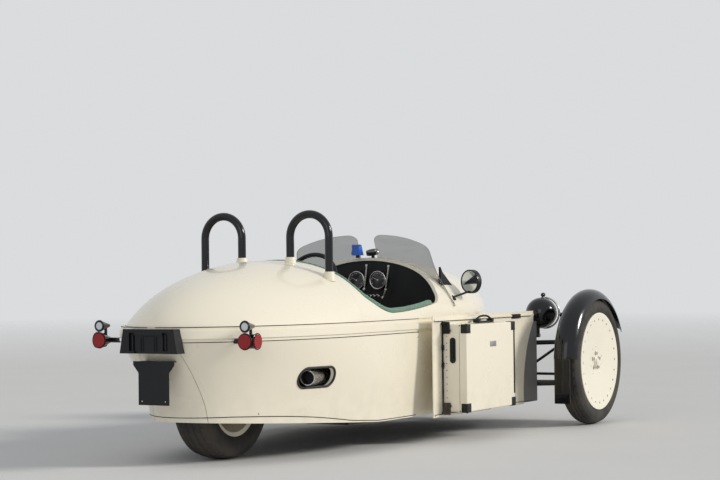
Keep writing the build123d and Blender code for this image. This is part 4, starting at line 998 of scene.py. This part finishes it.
for k in range(6):
    point, normal = on_surface(dash_tree, place(DASH_RAY_X, -60 + 24 * k, 752), (1, 0, 0))
    if point is not None:
        at = turned_to(point, normal)
        add_lathe(rims, [(0.0065, -0.001), (0.0065, 0.003), (0.005, 0.004), (0, 0.004)], at, 6)
        lever = [at @ Vector((0, 0, 0.003)), at @ Vector((0, 0.007, 0.017))]
        add_tube(rims, lever, 0.0022, 8, taper=[0.0016, 0.0028])
finish_piece("dial_faces", faces, "chassis", "dial_face")
finish_piece("dial_marks", marks, "chassis", "dial_white", smooth=0)
finish_piece("dial_rims", rims, "chassis", "steel")

stays = bmesh.new()
for stay in (((1420, -8, 918), (1420, 9, 790)),
             ((1420, -143, 912), (1420, -124, 785), (1422, -114, 762), (1424, -104, 744))):
    add_tube(stays, [place(*point) for point in stay], 0.004, 10)
for y, z in ((-8, 918), (9, 790), (-143, 912), (-124, 785), (-104, 744)):
    add_bolt(stays, place(1417, y, z), BACKWARD, 0.010, 0.005)
finish_piece("dash_stays", stays, "chassis", "steel")


# Steering wheel: boss, screws and thread on the rim

COLUMN_LEAN = radians(20)
HAND_WHEEL_R, HAND_RIM_R = 0.158, 0.0126
STITCHES = 96
axis = Vector((cos(COLUMN_LEAN), 0, -sin(COLUMN_LEAN)))
wheel_at = turned_to(place(1227, 236, 831), -axis)
boss = bmesh.new()
section = [(0.036, -0.004), (0.036, 0.006), (0.031, 0.011), (0.018, 0.014), (0.006, 0.0125), (0, 0.0125)]
add_lathe(boss, section, wheel_at, 36)
for k in range(6):
    a = pi / 3 * k
    add_screw(boss, wheel_at @ Vector((0.029 * cos(a), 0.029 * sin(a), 0.0112)), -axis, 0.003, 0.0018)
finish_piece("hand_wheel_boss", boss, "hand_wheel", "chassis_black")


def on_rim(turn, tilt):
    """A point on the inner half of the hand wheel's rim."""
    reach = HAND_WHEEL_R - HAND_RIM_R * cos(tilt)
    return wheel_at @ Vector((reach * cos(turn), reach * sin(turn), HAND_RIM_R * sin(tilt)))


thread = bmesh.new()
for k in range(STITCHES):
    a = 2 * pi * k / STITCHES
    b = a + 0.028
    add_tube(thread, [on_rim(a, -0.5), on_rim((a + b) / 2, 0.0), on_rim(b, 0.5)], 0.0007, 5)
finish_piece("hand_wheel_thread", thread, "hand_wheel", "dial_white")


# Nose: a wire mesh over the air opening

WIRE_PITCH = 0.014
WIRE_PROUD = 0.0006


def wire_runs(tree, low, high, lean):
    """Parallel lines across the grille's face, each broken where the face ends."""
    middle_z = (low.z + high.z) / 2
    for k in range(-30, 31):
        run = []
        for j in range(-30, 31):
            y, z = (k + j) * WIRE_PITCH / 2, middle_z + lean * (k - j) * WIRE_PITCH / 2
            point, normal = on_surface(tree, Vector((high.x + 0.3, y, z)), (-1, 0, 0))
            if point is not None and normal.x > 0.5:
                run.append(point + Vector((WIRE_PROUD * lean, 0, 0)))
                continue
            if len(run) > 1:
                yield run
            run = []
        if len(run) > 1:
            yield run


wires = bmesh.new()
for lean in (1, -1):
    for run in wire_runs(tree_of("nose_grille"), *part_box("nose_grille"), lean):
        add_tube(wires, run, 0.0011, 5)
finish_piece("nose_wires", wires, "chassis", "steel")


# Light, floor and camera

FLOOR_HALF = 40.0
FLOOR_FADE = (9.0, 30.0)
SEEN_GREY = (0.7, 0.715, 0.73, 1)
CAMERA_AT = Vector((-8.4985, -4.866, 0.870))
CAMERA_HEADING, CAMERA_PITCH, CAMERA_ROLL = radians(60.672), radians(1.075), radians(0.625)
CAMERA_LENS = 91.637


def blend_shaders(tree, factor, low, high, output):
    """Two shader nodes mixed by a factor, on the way to an output node."""
    blend = tree.nodes.new("ShaderNodeMixShader")
    for socket, value in zip(blend.inputs, (factor, low.outputs[0], high.outputs[0])):
        link(tree, value, socket)
    link(tree, blend.outputs[0], tree.nodes[output].inputs["Surface"])


def plain_floor():
    """A pale floor that fades out far from the car."""
    e = FLOOR_HALF
    mesh = bpy.data.meshes.new("floor")
    mesh.from_pydata([(-e, -e, 0), (e, -e, 0), (e, e, 0), (-e, e, 0)], [], [(0, 1, 2, 3)])
    floor = bpy.data.objects.new("floor", mesh)
    bpy.context.scene.collection.objects.link(floor)
    floor.location.z = -0.0005
    made = bpy.data.materials.new("floor_plain")
    made.use_nodes = True
    tree = made.node_tree
    shader = tree.nodes["Principled BSDF"]
    where = tree.nodes.new("ShaderNodeTexCoord").outputs["Object"]
    tint = mixed(tree, noise(tree, where, 1.3), (0.66, 0.655, 0.645), (0.7, 0.695, 0.685))
    link(tree, tint, shader.inputs["Base Color"])
    shader.inputs["Roughness"].default_value = 0.9
    shader.inputs["Specular IOR Level"].default_value = 0.1
    reach = tree.nodes.new("ShaderNodeVectorMath")
    reach.operation = "LENGTH"
    link(tree, where, reach.inputs[0])
    clear = tree.nodes.new("ShaderNodeBsdfTransparent")
    fade = mapped(tree, reach.outputs["Value"], *FLOOR_FADE, 0, 1)
    blend_shaders(tree, fade, shader, clear, "Material Output")
    mesh.materials.append(made)


def world_light():
    """Soft light all round. The camera, gloss and glass see a pale grey instead."""
    world = bpy.data.worlds.new("studio")
    bpy.context.scene.world = world
    world.use_nodes = True
    tree = world.node_tree
    ambient = tree.nodes["Background"]
    ambient.inputs["Color"].default_value = (0.93, 0.96, 1.0, 1)
    ambient.inputs["Strength"].default_value = 0.5
    seen = tree.nodes.new("ShaderNodeBackground")
    seen.inputs["Color"].default_value = SEEN_GREY
    seen.inputs["Strength"].default_value = 1.0
    path = tree.nodes.new("ShaderNodeLightPath")
    rays = math_node(tree, "ADD", path.outputs["Is Camera Ray"], path.outputs["Is Glossy Ray"], True)
    rays = math_node(tree, "ADD", rays, path.outputs["Is Transmission Ray"], True)
    blend_shaders(tree, rays, ambient, seen, "World Output")


def lamp(name, kind, energy, start, aim, **values):
    data = bpy.data.lights.new(name, kind)
    data.energy = energy
    for key, value in values.items():
        setattr(data, key, value)
    made = bpy.data.objects.new(name, data)
    bpy.context.scene.collection.objects.link(made)
    made.matrix_world = turned_to(Vector(start), Vector(start) - Vector(aim))


def photo_camera():
    """The camera that was fitted to the photo."""
    up = Vector((0, 0, 1))
    flat = Vector((sin(CAMERA_HEADING), cos(CAMERA_HEADING), 0))
    side = Vector((cos(CAMERA_HEADING), -sin(CAMERA_HEADING), 0))
    aim = flat * cos(CAMERA_PITCH) + up * sin(CAMERA_PITCH)
    over = up * cos(CAMERA_PITCH) - flat * sin(CAMERA_PITCH)
    right = side * cos(CAMERA_ROLL) - over * sin(CAMERA_ROLL)
    top = over * cos(CAMERA_ROLL) + side * sin(CAMERA_ROLL)
    data = bpy.data.cameras.new("photo_camera")
    data.lens = CAMERA_LENS
    data.sensor_width = 36.0
    made = bpy.data.objects.new("photo_camera", data)
    bpy.context.scene.collection.objects.link(made)
    turn = Matrix((right, top, -aim)).transposed().to_4x4()
    made.matrix_world = Matrix.Translation(CAMERA_AT) @ turn
    bpy.context.scene.camera = made


plain_floor()
world_light()
lamp("key", "SUN", 2.05, (3.6, -8.4, 4.5), (0, 0, 0), angle=radians(14), color=(1.0, 0.965, 0.91))
lamp("fill", "AREA", 60, (-7.5, -2.0, 3.2), (0, 0, 0.6), size=4.0, color=(0.95, 0.97, 1.0))
photo_camera()
bpy.context.scene.view_settings.view_transform = "Standard"
